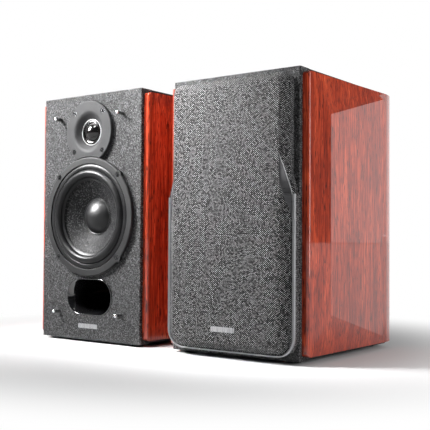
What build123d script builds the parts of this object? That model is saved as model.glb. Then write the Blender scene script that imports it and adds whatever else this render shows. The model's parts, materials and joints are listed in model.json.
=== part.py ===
from build123d import *
import os
from math import sin, cos, radians

os.makedirs("parts", exist_ok=True)

# ---------------------------------------------------------------------------
# A pair of desktop bookshelf speakers. Millimetres, +Z up, fronts face -Y.
# Origin: centre of the whole pair's footprint, on the surface it stands on.
# ---------------------------------------------------------------------------

# overall
pitch = 181.3            # spacing of the two cabinets' centre planes
cab_w = 139.1            # black cabinet and baffle width
cab_h = 254.0            # cabinet height without feet
cab_d = 170.0            # baffle face to rear face
foot_t = 2.5             # rubber foot thickness
foot_r = 7.0
front_y = -78.6          # world Y of the baffle's front face
z0 = foot_t              # underside of the cabinet
z1 = foot_t + cab_h      # top of the cabinet
wall = 12.0              # fibreboard wall
baffle_t = 15.0
half_w = cab_w / 2

# side panels: facetted lacquered wood
panel_gap = 4.0          # panel edge to cabinet edge, top, bottom and front
panel_edge_t = 6.5       # thickness at the front edge
panel_t = 11.0           # thickness of the flat middle
panel_ridge_d = 35.0     # front ridge, behind the baffle face
panel_rear_d = 167.0
panel_slope_y = 0.0276   # rise of the upper and lower facets towards the rear
panel_slope_z = 0.1054   # fall of those facets towards the top and bottom
panel_rear_round = 27.0  # depth of the soft rear edge

# grille pins
pin_x = 44.4
pin_z_low = 27.7
pin_z_high = 230.9
pin_r = 1.9
pin_out = 9.5

# tweeter
tw_z = z0 + 214.8
tw_r = 32.4
tw_proud = 4.0
tw_screw = 20.1          # screw offsets from the tweeter's centre
tw_bore_r = 13.0

# woofer
wf_z = z0 + 127.0
ring_r = 61.8            # trim ring outside radius
ring_in_r = 54.5
ring_proud = 4.2
wf_screw = 41.8          # screw offsets from the woofer's centre
ear_r = 4.3
cone_r = 39.6
cap_r = 18.0
coil_r = 12.6

# port
port_z = z0 + 44.3
port_w, port_h = 65.0, 38.0
port_in_w, port_in_h = 50.8, 30.0
port_len = 75.0

# rear terminals
term_z = z0 + 62.0
term_w, term_h = 84.0, 60.0
pocket_w, pocket_h, pocket_d = 62.0, 40.0, 22.0
post_x = 14.0
banana_r = 2.05

# right-hand grille
g_back = 0.8             # clearance between the grille's back and the baffle
g_plateau = 15.2         # cloth face above the baffle
g_half = 57.8            # half width of the flat cloth face


def front_plane(cx, d=0.0):
    # plane facing the listener: local x = +X, local y = +Z, local z = towards the listener
    return Plane(origin=(cx, front_y - d, 0), x_dir=(1, 0, 0), z_dir=(0, -1, 0))


def axis_plane(cx, zc):
    # half plane through a driver's axis: local x = radius, local y = distance in front of the baffle
    return Plane(origin=(cx, front_y, zc), x_dir=(1, 0, 0), z_dir=(0, 0, -1))


def driver_axis(cx, zc):
    return Axis((cx, front_y, zc), (0, -1, 0))


def cap_mid(r_edge, d_edge, d_apex, f=0.55):
    # a point on the spherical cap through the apex and the edge
    h = d_apex - d_edge
    rad = (r_edge ** 2 + h ** 2) / (2 * h)
    r = f * r_edge
    return (r, d_apex - rad + (rad ** 2 - r ** 2) ** 0.5)


def save(part, name):
    part.label = name
    export_step(part, f"parts/{name}.step")


corners4 = [(-1, -1), (1, -1), (-1, 1), (1, 1)]

for side, cx in (("left", -pitch / 2), ("right", pitch / 2)):
    # ---- cabinet: five-sided box, open towards the baffle, with terminal opening and bracket recess
    with BuildPart() as cabinet:
        with BuildSketch(front_plane(cx, -baffle_t)):
            with Locations((0, z0 + cab_h / 2)):
                Rectangle(cab_w, cab_h)
        extrude(amount=-(cab_d - baffle_t))
        with BuildSketch(front_plane(cx, -baffle_t)):
            with Locations((0, z0 + cab_h / 2)):
                Rectangle(cab_w - 2 * wall, cab_h - 2 * wall)
        extrude(amount=-(cab_d - baffle_t - wall), mode=Mode.SUBTRACT)
        with BuildSketch(front_plane(cx, -cab_d)):
            with Locations((0, term_z)):
                Rectangle(pocket_w + 5, pocket_h + 5)
        extrude(amount=wall + 1, mode=Mode.SUBTRACT)
        with BuildSketch(front_plane(cx, -cab_d)):
            with Locations((0, z1 - 34)):
                Rectangle(12, 20)
        extrude(amount=6, mode=Mode.SUBTRACT)
        with BuildSketch(front_plane(cx, -cab_d)):
            with Locations(*[(dx, z1 - 34) for dx in (-17, 17)]):
                Circle(1.55)
        extrude(amount=9, mode=Mode.SUBTRACT)
        with BuildSketch(front_plane(cx, -cab_d)):
            with Locations(*[(dx * 37.5, term_z + dz * 25.5) for dx, dz in corners4]):
                Circle(1.55)
        extrude(amount=9, mode=Mode.SUBTRACT)
    save(cabinet.part, f"{side}_cabinet")

    # ---- baffle: front board with driver, port, pin and screw holes
    with BuildPart() as baffle:
        with BuildSketch(front_plane(cx, -baffle_t)):
            with Locations((0, z0 + cab_h / 2)):
                Rectangle(cab_w, cab_h)
        extrude(amount=baffle_t)
        fillet(baffle.edges().filter_by(Axis.Z).group_by(Axis.Y)[0], radius=1.0)
        with BuildSketch(front_plane(cx)):
            with Locations((0, wf_z)):
                Circle(50.6)
            with Locations((0, tw_z)):
                Circle(24.0)
            with Locations((0, port_z)):
                SlotOverall(57.4, 36.6)
        extrude(amount=-baffle_t, mode=Mode.SUBTRACT)
        with BuildSketch(front_plane(cx)):
            with Locations((0, port_z)):
                SlotOverall(port_w + 0.4, port_h + 0.4)
        extrude(amount=-3.0, mode=Mode.SUBTRACT)
        with BuildSketch(front_plane(cx)):
            with Locations(*[(sx * pin_x, z0 + pz) for sx in (-1, 1) for pz in (pin_z_low, pin_z_high)]):
                Circle(pin_r)
        extrude(amount=-10.0, mode=Mode.SUBTRACT)
        with BuildSketch(front_plane(cx)):
            with Locations(*[(a * wf_screw, wf_z + b * wf_screw) for a, b in corners4]):
                Circle(1.55)
            with Locations(*[(a * tw_screw, tw_z + b * tw_screw) for a, b in corners4]):
                Circle(1.55)
        extrude(amount=-12.0, mode=Mode.SUBTRACT)
    save(baffle.part, f"{side}_baffle")

    # ---- facetted side panels, one each side
    with BuildPart() as side_panels:
        for s in (-1, 1):
            x_in = cx + s * half_w
            plan = Plane(origin=(x_in, front_y, z0 + panel_gap), x_dir=(s, 0, 0), z_dir=(0, 0, s))
            with BuildSketch(plan):
                with BuildLine():
                    p = Polyline(
                        (0, panel_rear_d), (0, panel_gap), (panel_edge_t, panel_gap),
                        (panel_t, panel_ridge_d), (panel_t, panel_rear_d - panel_rear_round))
                    EllipticalCenterArc((panel_t - 6, panel_rear_d - panel_rear_round), 6, panel_rear_round, start_angle=0, arc_size=90)
                    Line((panel_t - 6, panel_rear_d), (0, panel_rear_d))
                make_face()
            extrude(amount=s * (cab_h - 2 * panel_gap))
        rounded = side_panels.edges().filter_by(Axis.Z).filter_by(
            lambda e: abs(e.center().Y - (front_y + panel_gap)) < 0.1 and abs(abs(e.center().X - cx) - half_w - panel_edge_t) < 0.1)
        fillet(rounded, radius=3.0)
        for s in (-1, 1):
            for t in (-1, 1):
                zt = z1 - panel_gap if t > 0 else z0 + panel_gap
                cut = Plane(
                    origin=(cx + s * (half_w + panel_edge_t), front_y + panel_gap, zt),
                    z_dir=(s, -panel_slope_y, t * panel_slope_z))
                wedge = Plane(cut.origin, x_dir=(0, 1, 0), z_dir=cut.z_dir) * Box(
                    500, 500, 20, align=(Align.CENTER, Align.CENTER, Align.MIN), mode=Mode.PRIVATE)
                add(wedge, mode=Mode.SUBTRACT)
    save(side_panels.part, f"{side}_side_panels")

    # ---- grille pins
    with BuildPart() as grille_pins:
        with BuildSketch(front_plane(cx, -9.5)):
            with Locations(*[(sx * pin_x, z0 + pz) for sx in (-1, 1) for pz in (pin_z_low, pin_z_high)]):
                Circle(pin_r)
        extrude(amount=9.5 + pin_out)
        fillet(grille_pins.faces().group_by(Axis.Y)[0].edges(), radius=1.2)
    save(grille_pins.part, f"{side}_grille_pins")

    # ---- rubber feet
    with BuildPart() as feet:
        with BuildSketch(Plane.XY):
            with Locations(*[(cx + sx * (half_w - 14), front_y + dy) for sx in (-1, 1) for dy in (14, cab_d - 14)]):
                Circle(foot_r)
        extrude(amount=foot_t)
        fillet(feet.faces().group_by(Axis.Z)[0].edges(), radius=0.6)
    save(feet.part, f"{side}_feet")

    # ---- flared port tube
    with BuildPart() as port_tube:
        with BuildSketch(front_plane(cx, 0.8)):
            with Locations((0, port_z)):
                SlotOverall(port_w, port_h)
        extrude(amount=-3.7)
        fillet(port_tube.edges().group_by(Axis.Y)[0], radius=0.7)
        with BuildSketch(front_plane(cx, -2.9)):
            with Locations((0, port_z)):
                SlotOverall(56.8, 36.0)
        extrude(amount=-(port_len - 2.9))
        for k, (w, h, d) in enumerate(((62.6, 36.6, 0.8), (58.0, 34.0, -0.4), (54.4, 32.0, -2.6), (52.0, 30.7, -6.0), (port_in_w, port_in_h, -11.0))):
            with BuildSketch(front_plane(cx, d)):
                with Locations((0, port_z)):
                    SlotOverall(w, h)
        loft(mode=Mode.SUBTRACT)
        with BuildSketch(front_plane(cx, -11.0)):
            with Locations((0, port_z)):
                SlotOverall(port_in_w, port_in_h)
        extrude(amount=-(port_len - 11.0), mode=Mode.SUBTRACT)
    save(port_tube.part, f"{side}_port_tube")

    # ---- tweeter faceplate with waveguide, notched around the woofer
    tax = driver_axis(cx, tw_z)
    with BuildPart() as tweeter_faceplate:
        with BuildSketch(axis_plane(cx, tw_z)):
            with BuildLine():
                Line((tw_r, 0), (tw_r, tw_proud - 0.8))
                ThreePointArc((tw_r, tw_proud - 0.8), (tw_r - 0.24, tw_proud - 0.24), (tw_r - 0.8, tw_proud))
                Line((tw_r - 0.8, tw_proud), (22.4, tw_proud))
                Spline((22.4, tw_proud), (18.6, 2.9), (15.6, 0.6), (tw_bore_r + 0.9, -1.2), tangents=((-1, 0), (-0.35, -1)))
                Line((tw_bore_r + 0.9, -1.2), (tw_bore_r, -1.2))
                Line((tw_bore_r, -1.2), (tw_bore_r, -3.0))
                Line((tw_bore_r, -3.0), (23.5, -3.0))
                Line((23.5, -3.0), (23.5, 0))
                Line((23.5, 0), (tw_r, 0))
            make_face()
        revolve(axis=tax)
        with BuildSketch(front_plane(cx)):
            with Locations((0, wf_z)):
                Circle(ring_r + 0.4)
        extrude(amount=10, mode=Mode.SUBTRACT)
        with BuildSketch(front_plane(cx)):
            with Locations(*[(a * tw_screw, tw_z + b * tw_screw) for a, b in corners4]):
                Circle(1.75)
        extrude(amount=10, mode=Mode.SUBTRACT)
        with BuildSketch(front_plane(cx, 1.6)):
            with Locations(*[(a * tw_screw, tw_z + b * tw_screw) for a, b in corners4]):
                Circle(3.0)
        extrude(amount=10, mode=Mode.SUBTRACT)
    save(tweeter_faceplate.part, f"{side}_tweeter_faceplate")

    # ---- tweeter dome with its half-roll surround and coil former, one bonded diaphragm
    with BuildPart() as tweeter_dome:
        with BuildSketch(axis_plane(cx, tw_z)):
            with BuildLine():
                ThreePointArc((0, 3.2), cap_mid(9.5, -1.5, 3.2), (9.5, -1.5))
                ThreePointArc((9.5, -1.5), (11.0, -0.6), (12.5, -1.5))
                Line((12.5, -1.5), (12.5, -1.9))
                Line((12.5, -1.9), (12.1, -1.9))
                ThreePointArc((12.1, -1.9), (11.0, -1.1), (9.9, -1.9))
                Line((9.9, -1.9), (9.9, -8.5))
                Line((9.9, -8.5), (9.5, -8.5))
                Line((9.5, -8.5), (9.5, -2.3))
                ThreePointArc((9.5, -2.3), cap_mid(9.5, -2.3, 2.7), (0, 2.7))
                Line((0, 2.7), (0, 3.2))
            make_face()
        revolve(axis=tax)
    save(tweeter_dome.part, f"{side}_tweeter_dome")

    # ---- tweeter motor: top plate, ring magnet and yoke with pole
    with BuildPart() as tweeter_motor:
        with BuildSketch(axis_plane(cx, tw_z)):
            with BuildLine():
                Polyline((10.4, -3.0), (22.5, -3.0), (22.5, -6.0), (10.4, -6.0), close=True)
            make_face()
        revolve(axis=tax)
        with BuildSketch(axis_plane(cx, tw_z)):
            with BuildLine():
                Polyline((13.5, -6.05), (22.5, -6.05), (22.5, -13.95), (13.5, -13.95), close=True)
            make_face()
        revolve(axis=tax, mode=Mode.ADD)
        with BuildSketch(axis_plane(cx, tw_z)):
            with BuildLine():
                Polyline((0, -3.0), (9.0, -3.0), (9.0, -14.0), (22.0, -14.0), (22.0, -18.5), (0, -18.5), close=True)
            make_face()
        revolve(axis=tax, mode=Mode.ADD)
    save(tweeter_motor.part, f"{side}_tweeter_motor")

    # ---- eight identical driver screws: socket heads, four for each driver
    screw_sites = [(a * wf_screw, wf_z + b * wf_screw, 1.7) for a, b in corners4] + \
                  [(a * tw_screw, tw_z + b * tw_screw, 1.6) for a, b in corners4]
    with BuildPart() as driver_screws:
        for x, z, d in screw_sites:
            with BuildSketch(front_plane(cx, d)):
                with Locations((x, z)):
                    Circle(2.75)
            extrude(amount=2.0)
            with BuildSketch(front_plane(cx, d)):
                with Locations((x, z)):
                    Circle(1.5)
            extrude(amount=-(d + 11.0))
            with BuildSketch(front_plane(cx, d + 2.0)):
                with Locations((x, z)):
                    RegularPolygon(radius=1.45, side_count=6)
            extrude(amount=-1.3, mode=Mode.SUBTRACT)
    save(driver_screws.part, f"{side}_driver_screws")

    # ---- woofer basket: flange with four ears, windowed bowl and rear ring
    wax = driver_axis(cx, wf_z)
    with BuildPart() as woofer_basket:
        with BuildSketch(axis_plane(cx, wf_z)):
            with BuildLine():
                Polyline((48.0, 0), (61.0, 0), (61.0, 1.5), (48.2, 1.5), (46.4, -0.4), (35.6, -26.0), (20.0, -26.0),
                         (20.0, -27.6), (36.8, -27.6), (48.0, -1.2), close=True)
            make_face()
        revolve(axis=wax)
        with BuildSketch(front_plane(cx)):
            with Locations(*[(a * wf_screw, wf_z + b * wf_screw) for a, b in corners4]):
                Circle(ear_r - 0.3)
        extrude(amount=1.5)
        with BuildSketch(front_plane(cx)):
            with Locations(*[(a * wf_screw, wf_z + b * wf_screw) for a, b in corners4]):
                Circle(1.75)
        extrude(amount=3, mode=Mode.SUBTRACT)
        for k in range(4):
            a = k * 90
            with BuildSketch(Plane(origin=(cx, front_y + 14.5, wf_z), x_dir=(0, 1, 0), z_dir=(cos(radians(a)), 0, sin(radians(a))))):
                SlotOverall(30.0, 17.0, rotation=90)
            extrude(amount=60, mode=Mode.SUBTRACT)
    save(woofer_basket.part, f"{side}_woofer_basket")

    # ---- woofer trim ring with screw ears
    with BuildPart() as woofer_trim_ring:
        with BuildSketch(axis_plane(cx, wf_z)):
            with BuildLine():
                Line((ring_in_r, 1.5), (ring_r - 0.2, 1.5))
                Line((ring_r - 0.2, 1.5), (ring_r - 0.2, 3.0))
                ThreePointArc((ring_r - 0.2, 3.0), (ring_r - 0.6, 3.85), (ring_r - 1.4, ring_proud))
                Line((ring_r - 1.4, ring_proud), (ring_in_r + 0.7, ring_proud))
                ThreePointArc((ring_in_r + 0.7, ring_proud), (ring_in_r + 0.2, ring_proud - 0.2), (ring_in_r, ring_proud - 0.7))
                Line((ring_in_r, ring_proud - 0.7), (ring_in_r, 1.5))
            make_face()
        revolve(axis=wax)
        with BuildSketch(front_plane(cx, 1.5)):
            with Locations(*[(a * wf_screw, wf_z + b * wf_screw) for a, b in corners4]):
                Circle(ear_r)
            with Locations((0, wf_z)):
                Circle(ring_in_r, mode=Mode.SUBTRACT)
        extrude(amount=ring_proud - 1.7)
        with BuildSketch(front_plane(cx, 1.5)):
            with Locations(*[(a * wf_screw, wf_z + b * wf_screw) for a, b in corners4]):
                Circle(3.1)
        extrude(amount=6, mode=Mode.SUBTRACT)
    save(woofer_trim_ring.part, f"{side}_woofer_trim_ring")

    # ---- rubber surround: outer flange, half roll, inner flange on the cone's edge
    with BuildPart() as woofer_surround:
        with BuildSketch(axis_plane(cx, wf_z)):
            with BuildLine():
                Line((54.0, 1.5), (54.0, 3.5))
                Line((54.0, 3.5), (49.6, 3.5))
                Line((49.6, 3.5), (49.2, 2.4))
                ThreePointArc((49.2, 2.4), (44.6, 6.0), (40.0, 1.6))
                Line((40.0, 1.6), (37.4, 0.6))
                Line((37.4, 0.6), (37.8, 0.0))
                Line((37.8, 0.0), (40.2, 0.9))
                ThreePointArc((40.2, 0.9), (44.6, 5.2), (48.6, 1.5))
                Line((48.6, 1.5), (54.0, 1.5))
            make_face()
        revolve(axis=wax)
    save(woofer_surround.part, f"{side}_woofer_surround")

    # ---- paper cone, curved flank
    with BuildPart() as woofer_cone:
        with BuildSketch(axis_plane(cx, wf_z)):
            with BuildLine():
                Spline((cone_r - 0.2, 0.55), (28.0, -5.4), (cap_r, -11.0), (coil_r + 0.3, -14.6))
                Line((coil_r + 0.3, -14.6), (coil_r + 0.3, -15.9))
                Spline((coil_r + 0.3, -15.9), (cap_r, -12.2), (28.0, -6.5), (cone_r - 0.2, -0.4))
                Line((cone_r - 0.2, -0.4), (cone_r - 0.2, 0.55))
            make_face()
        revolve(axis=wax)
        add(woofer_surround.part, mode=Mode.SUBTRACT)
    save(woofer_cone.part, f"{side}_woofer_cone")

    # ---- dust cap
    with BuildPart() as woofer_dust_cap:
        with BuildSketch(axis_plane(cx, wf_z)):
            with BuildLine():
                ThreePointArc((0, -2.4), cap_mid(cap_r - 0.6, -10.2, -2.4), (cap_r - 0.6, -10.2))
                Line((cap_r - 0.6, -10.2), (cap_r + 0.6, -9.9))
                Line((cap_r + 0.6, -9.9), (cap_r + 0.6, -10.5))
                Line((cap_r + 0.6, -10.5), (cap_r - 0.9, -10.9))
                ThreePointArc((cap_r - 0.9, -10.9), cap_mid(cap_r - 0.9, -10.9, -3.1), (0, -3.1))
                Line((0, -3.1), (0, -2.4))
            make_face()
        revolve(axis=wax)
        add(woofer_cone.part, mode=Mode.SUBTRACT)
    save(woofer_dust_cap.part, f"{side}_woofer_dust_cap")

    # ---- corrugated spider
    with BuildPart() as woofer_spider:
        rs = [coil_r + 0.1 + 0.05, 15.0, 17.2, 19.4, 21.6, 23.8, 26.0, 28.2, 30.4]
        top = [(r, -19.0 + (0.9 if i % 2 else -0.9)) for i, r in enumerate(rs)]
        outer = [(33.0, -19.0), (37.2, -19.0), (37.0, -19.6), (33.0, -19.6)]
        low = [(r, z - 0.5) for r, z in reversed(top)]
        with BuildSketch(axis_plane(cx, wf_z)):
            with BuildLine():
                Polyline(*top, *outer, *low, close=True)
            make_face()
        revolve(axis=wax)
        add(woofer_basket.part, mode=Mode.SUBTRACT)
    save(woofer_spider.part, f"{side}_woofer_spider")

    # ---- voice coil: former and winding
    with BuildPart() as woofer_voice_coil:
        with BuildSketch(axis_plane(cx, wf_z)):
            with BuildLine():
                Polyline((coil_r - 0.25, -13.2), (coil_r + 0.05, -13.2), (coil_r + 0.05, -28.0), (coil_r + 0.6, -28.0),
                         (coil_r + 0.6, -38.0), (coil_r - 0.25, -38.0), close=True)
            make_face()
        revolve(axis=wax)
    save(woofer_voice_coil.part, f"{side}_woofer_voice_coil")

    # ---- ring magnet
    with BuildPart() as woofer_magnet:
        with BuildSketch(axis_plane(cx, wf_z)):
            with BuildLine():
                Polyline((20.0, -32.6), (39.0, -32.6), (40.0, -33.6), (40.0, -46.6), (39.0, -47.6), (20.0, -47.6), close=True)
            make_face()
        revolve(axis=wax)
    save(woofer_magnet.part, f"{side}_woofer_magnet")

    # ---- top plate and yoke with vented pole
    with BuildPart() as woofer_pole_plates:
        with BuildSketch(axis_plane(cx, wf_z)):
            with BuildLine():
                Polyline((coil_r + 1.2, -27.6), (36.0, -27.6), (36.0, -32.6), (coil_r + 1.2, -32.6), close=True)
            make_face()
        revolve(axis=wax)
        with BuildSketch(axis_plane(cx, wf_z)):
            with BuildLine():
                Polyline((4.0, -26.6), (coil_r - 0.75, -26.6), (coil_r - 0.75, -47.6), (37.0, -47.6), (37.0, -52.0),
                         (36.0, -53.0), (6.0, -53.0), (4.0, -51.0), close=True)
            make_face()
        revolve(axis=wax, mode=Mode.ADD)
    save(woofer_pole_plates.part, f"{side}_woofer_pole_plates")

    # ---- crossover: board on the cabinet floor, coil on a bobbin, two capacitors, four standoffs
    fl = z0 + wall
    xb = front_y + 112.0
    with BuildPart() as crossover:
        with BuildSketch(Plane.XY.offset(fl + 5.0)):
            with Locations((cx, xb)):
                RectangleRounded(84, 60, 3)
        extrude(amount=1.6)
        with BuildSketch(Plane.XY.offset(fl)):
            with Locations(*[(cx + a * 37, xb + b * 25) for a, b in corners4]):
                Circle(3.0)
        extrude(amount=4.9)
        with BuildSketch(Plane.XY.offset(fl + 6.7)):
            with Locations((cx - 21, xb)):
                Circle(16.0)
                Circle(7.0, mode=Mode.SUBTRACT)
        extrude(amount=11.0)
        with BuildSketch(Plane(origin=(cx + 8, xb - 14, fl + 12.7), x_dir=(0, 1, 0), z_dir=(1, 0, 0))):
            Circle(6.0)
        extrude(amount=26.0)
        with BuildSketch(Plane(origin=(cx + 8, xb + 6, fl + 14.2), x_dir=(0, 1, 0), z_dir=(1, 0, 0))):
            Circle(7.5)
        extrude(amount=28.0)
    save(crossover.part, f"{side}_crossover")

    # ---- terminal cup: flange and pocket
    back = front_y + cab_d
    rear = Plane(origin=(cx, back, 0), x_dir=(1, 0, 0), z_dir=(0, -1, 0))
    with BuildPart() as terminal_cup:
        with BuildSketch(rear.offset(-2.0)):
            with Locations((0, term_z)):
                RectangleRounded(term_w, term_h, 5)
        extrude(amount=2.0)
        with BuildSketch(rear):
            with Locations((0, term_z)):
                RectangleRounded(pocket_w + 4, pocket_h + 4, 5)
        extrude(amount=pocket_d + 0.5)
        with BuildSketch(rear.offset(-2.0)):
            with Locations((0, term_z)):
                RectangleRounded(pocket_w, pocket_h, 4)
        extrude(amount=pocket_d + 0.5, mode=Mode.SUBTRACT)
        with BuildSketch(rear.offset(-2.0)):
            with Locations(*[(dx * 37.5, term_z + dz * 25.5) for dx, dz in corners4]):
                Circle(1.7)
            with Locations(*[(sx * post_x, term_z) for sx in (-1, 1)]):
                Circle(2.5)
        extrude(amount=pocket_d + 6, mode=Mode.SUBTRACT)
    save(terminal_cup.part, f"{side}_terminal_cup")

    # ---- binding posts: threaded studs with nut plates inside, and the cup's four fixing screws
    floor_y = back - 20.5    # outer face of the cup's floor
    with BuildPart() as binding_posts:
        for sx in (-1, 1):
            with BuildSketch(Plane(origin=(cx + sx * post_x, floor_y - 13.0, term_z), x_dir=(1, 0, 0), z_dir=(0, 1, 0))):
                Circle(2.0)
            extrude(amount=13.0 + 9.0)
            with BuildSketch(Plane(origin=(cx + sx * post_x, floor_y - 5.0, term_z), x_dir=(1, 0, 0), z_dir=(0, 1, 0))):
                RegularPolygon(radius=4.6, side_count=6)
            extrude(amount=3.0)
            with BuildSketch(Plane(origin=(cx + sx * post_x, floor_y - 2.0, term_z), x_dir=(1, 0, 0), z_dir=(0, 1, 0))):
                Circle(2.45)
            extrude(amount=2.0)
    save(binding_posts.part, f"{side}_binding_posts")

    # ---- washers and knobs of the two posts
    for colour, sx in (("red", -1), ("black", 1)):
        px = cx + sx * post_x
        with BuildPart() as washer:
            with BuildSketch(Plane(origin=(px, floor_y + 0.3, term_z), x_dir=(1, 0, 0), z_dir=(0, 1, 0))):
                Circle(5.2)
                Circle(2.35, mode=Mode.SUBTRACT)
            extrude(amount=1.8)
        save(washer.part, f"{side}_{colour}_washer")
        with BuildPart() as knob:
            with BuildSketch(Plane(origin=(px, floor_y + 2.4, term_z), x_dir=(1, 0, 0), z_dir=(0, 1, 0))):
                Circle(6.0)
                with PolarLocations(6.1, 12):
                    Circle(0.8, mode=Mode.SUBTRACT)
            extrude(amount=15.0)
            with BuildSketch(Plane(origin=(px, floor_y + 2.4, term_z), x_dir=(1, 0, 0), z_dir=(0, 1, 0))):
                Circle(2.35)
            extrude(amount=7.2, mode=Mode.SUBTRACT)
            with BuildSketch(Plane(origin=(px, floor_y + 17.4, term_z), x_dir=(1, 0, 0), z_dir=(0, 1, 0))):
                Circle(banana_r)
            extrude(amount=-9.0, mode=Mode.SUBTRACT)
        save(knob.part, f"{side}_{colour}_knob")

    # ---- keyhole bracket for wall hanging, with its two screws
    with BuildPart() as wall_bracket:
        with BuildSketch(rear.offset(-1.6)):
            with Locations((0, z1 - 34)):
                RectangleRounded(46, 30, 4)
            with Locations((0, z1 - 37)):
                Circle(4.2, mode=Mode.SUBTRACT)
            with Locations((0, z1 - 30.5)):
                SlotOverall(14.0, 4.2, rotation=90, mode=Mode.SUBTRACT)
            with Locations(*[(dx, z1 - 34) for dx in (-17, 17)]):
                Circle(1.7, mode=Mode.SUBTRACT)
        extrude(amount=1.6)
    save(wall_bracket.part, f"{side}_wall_bracket")

    # ---- rear screws: two for the bracket, four for the terminal cup
    rear_sites = [(dx, z1 - 34, 1.6) for dx in (-17, 17)] + [(dx * 37.5, term_z + dz * 25.5, 2.0) for dx, dz in corners4]
    with BuildPart() as rear_screws:
        for x, z, t in rear_sites:
            with BuildSketch(rear.offset(-t)):
                with Locations((x, z)):
                    Circle(2.9)
            extrude(amount=-1.2)
            with BuildSketch(rear.offset(-t)):
                with Locations((x, z)):
                    Circle(1.5)
            extrude(amount=t + 8.0)
    save(rear_screws.part, f"{side}_rear_screws")


# ---------------------------------------------------------------------------
# The right speaker's grille: a moulded frame under stretched cloth, with a
# metal trim that runs round the lower edge and up onto the side bevels.
# ---------------------------------------------------------------------------
gx = pitch / 2

z_bot, z_top = 3.5, 248.5


def outline(low_x, up_x, bottom, top, r_low, r_up, step_low=143.5, step_up=160.0):
    # closed outline of one level: wide below, narrower above the step
    k = 0.70710678
    with BuildSketch() as level:
        with BuildLine():
            Line((-(low_x - r_low), z0 + bottom), (low_x - r_low, z0 + bottom))
            ThreePointArc((low_x - r_low, z0 + bottom), (low_x - r_low * (1 - k), z0 + bottom + r_low * (1 - k)), (low_x, z0 + bottom + r_low))
            Line((low_x, z0 + bottom + r_low), (low_x, z0 + step_low))
            Line((low_x, z0 + step_low), (up_x, z0 + step_up))
            Line((up_x, z0 + step_up), (up_x, z0 + top - r_up))
            ThreePointArc((up_x, z0 + top - r_up), (up_x - r_up * (1 - k), z0 + top - r_up * (1 - k)), (up_x - r_up, z0 + top))
            Line((up_x - r_up, z0 + top), (-(up_x - r_up), z0 + top))
            ThreePointArc((-(up_x - r_up), z0 + top), (-(up_x - r_up * (1 - k)), z0 + top - r_up * (1 - k)), (-up_x, z0 + top - r_up))
            Line((-up_x, z0 + top - r_up), (-up_x, z0 + step_up))
            Line((-up_x, z0 + step_up), (-low_x, z0 + step_low))
            Line((-low_x, z0 + step_low), (-low_x, z0 + bottom + r_low))
            ThreePointArc((-low_x, z0 + bottom + r_low), (-(low_x - r_low * (1 - k)), z0 + bottom + r_low * (1 - k)), (-(low_x - r_low), z0 + bottom))
        make_face()
    return level.sketch


def shell_level(inset, back):
    # solid bounded by the cloth's surface moved inwards by inset
    foot_face = outline(69.4 - inset, 64.3 - inset, z_bot + inset, z_top - inset, 17.5 - inset, 9.0 - inset)
    bevel_foot = outline(67.0 - inset, 64.3 - inset, z_bot + 1.6 + inset, z_top - inset, 16.0 - inset, 9.0 - inset)
    plateau = outline(g_half + 0.02 - 0.7 * inset, g_half - 0.7 * inset, 12.0 + 0.7 * inset, 242.3 - 0.7 * inset, 9.0 - 0.7 * inset, 3.5 - 0.7 * inset)
    with BuildPart() as lump:
        with BuildSketch(front_plane(gx, back)):
            add(foot_face)
        extrude(amount=7.0 - 0.4 * inset - back)
        with BuildSketch(front_plane(gx, 7.0 - 0.4 * inset)):
            add(bevel_foot)
        with BuildSketch(front_plane(gx, g_plateau - inset)):
            add(plateau)
        loft(ruled=True)
    return lump.part


skin_t = 1.0
frame_t = 3.2
whole = shell_level(0.0, g_back)
under_skin = shell_level(skin_t, g_back)
inside = shell_level(frame_t, g_back)

# blade-shaped ends of the trim, seen from the front
blade = [(57.6, 178.6), (57.6, 155.0), (58.2, 150.7), (59.3, 146.5), (60.3, 143.1), (61.6, 138.0), (63.6, 133.4),
         (65.1, 128.7), (66.4, 122.0), (67.0, 118.0), (67.0, 143.0), (65.4, 149.5), (62.9, 157.8), (60.6, 167.8)]

strip_outer = outline(69.5, 64.4, z_bot, z_top, 17.5, 9.0)
strip_inner = outline(66.6, 64.3, z_bot + 1.5, z_top + 10, 15.6, 9.0, step_low=150.0)

# ---- trim: strip round the lower outline and the two blades
with BuildPart() as trim_zone:
    with BuildSketch(front_plane(gx, 6.2)):
        add(strip_outer)
        add(strip_inner, mode=Mode.SUBTRACT)
        with BuildLine():
            Polyline((-80, z0 + 143.5), (80, z0 + 143.5), (80, z0 + 260), (-80, z0 + 260), close=True)
        make_face(mode=Mode.SUBTRACT)
    extrude(amount=2.1)
with BuildPart() as blades:
    for s in (-1, 1):
        with BuildSketch(front_plane(gx, 6.2)):
            with BuildLine():
                Polyline(*[(s * x, z0 + z) for x, z in blade], close=True)
            make_face()
        extrude(amount=12.0)
    add(whole, mode=Mode.INTERSECT)
    add(under_skin, mode=Mode.SUBTRACT)
with BuildPart() as grille_trim:
    add(trim_zone.part)
    add(blades.part)
save(grille_trim.part, "right_grille_trim")

# ---- cloth: a skin over the frame's front and sides
with BuildPart() as grille_cloth:
    add(whole)
    add(under_skin, mode=Mode.SUBTRACT)
    add(grille_trim.part, mode=Mode.SUBTRACT)
save(grille_cloth.part, "right_grille_cloth")

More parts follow.
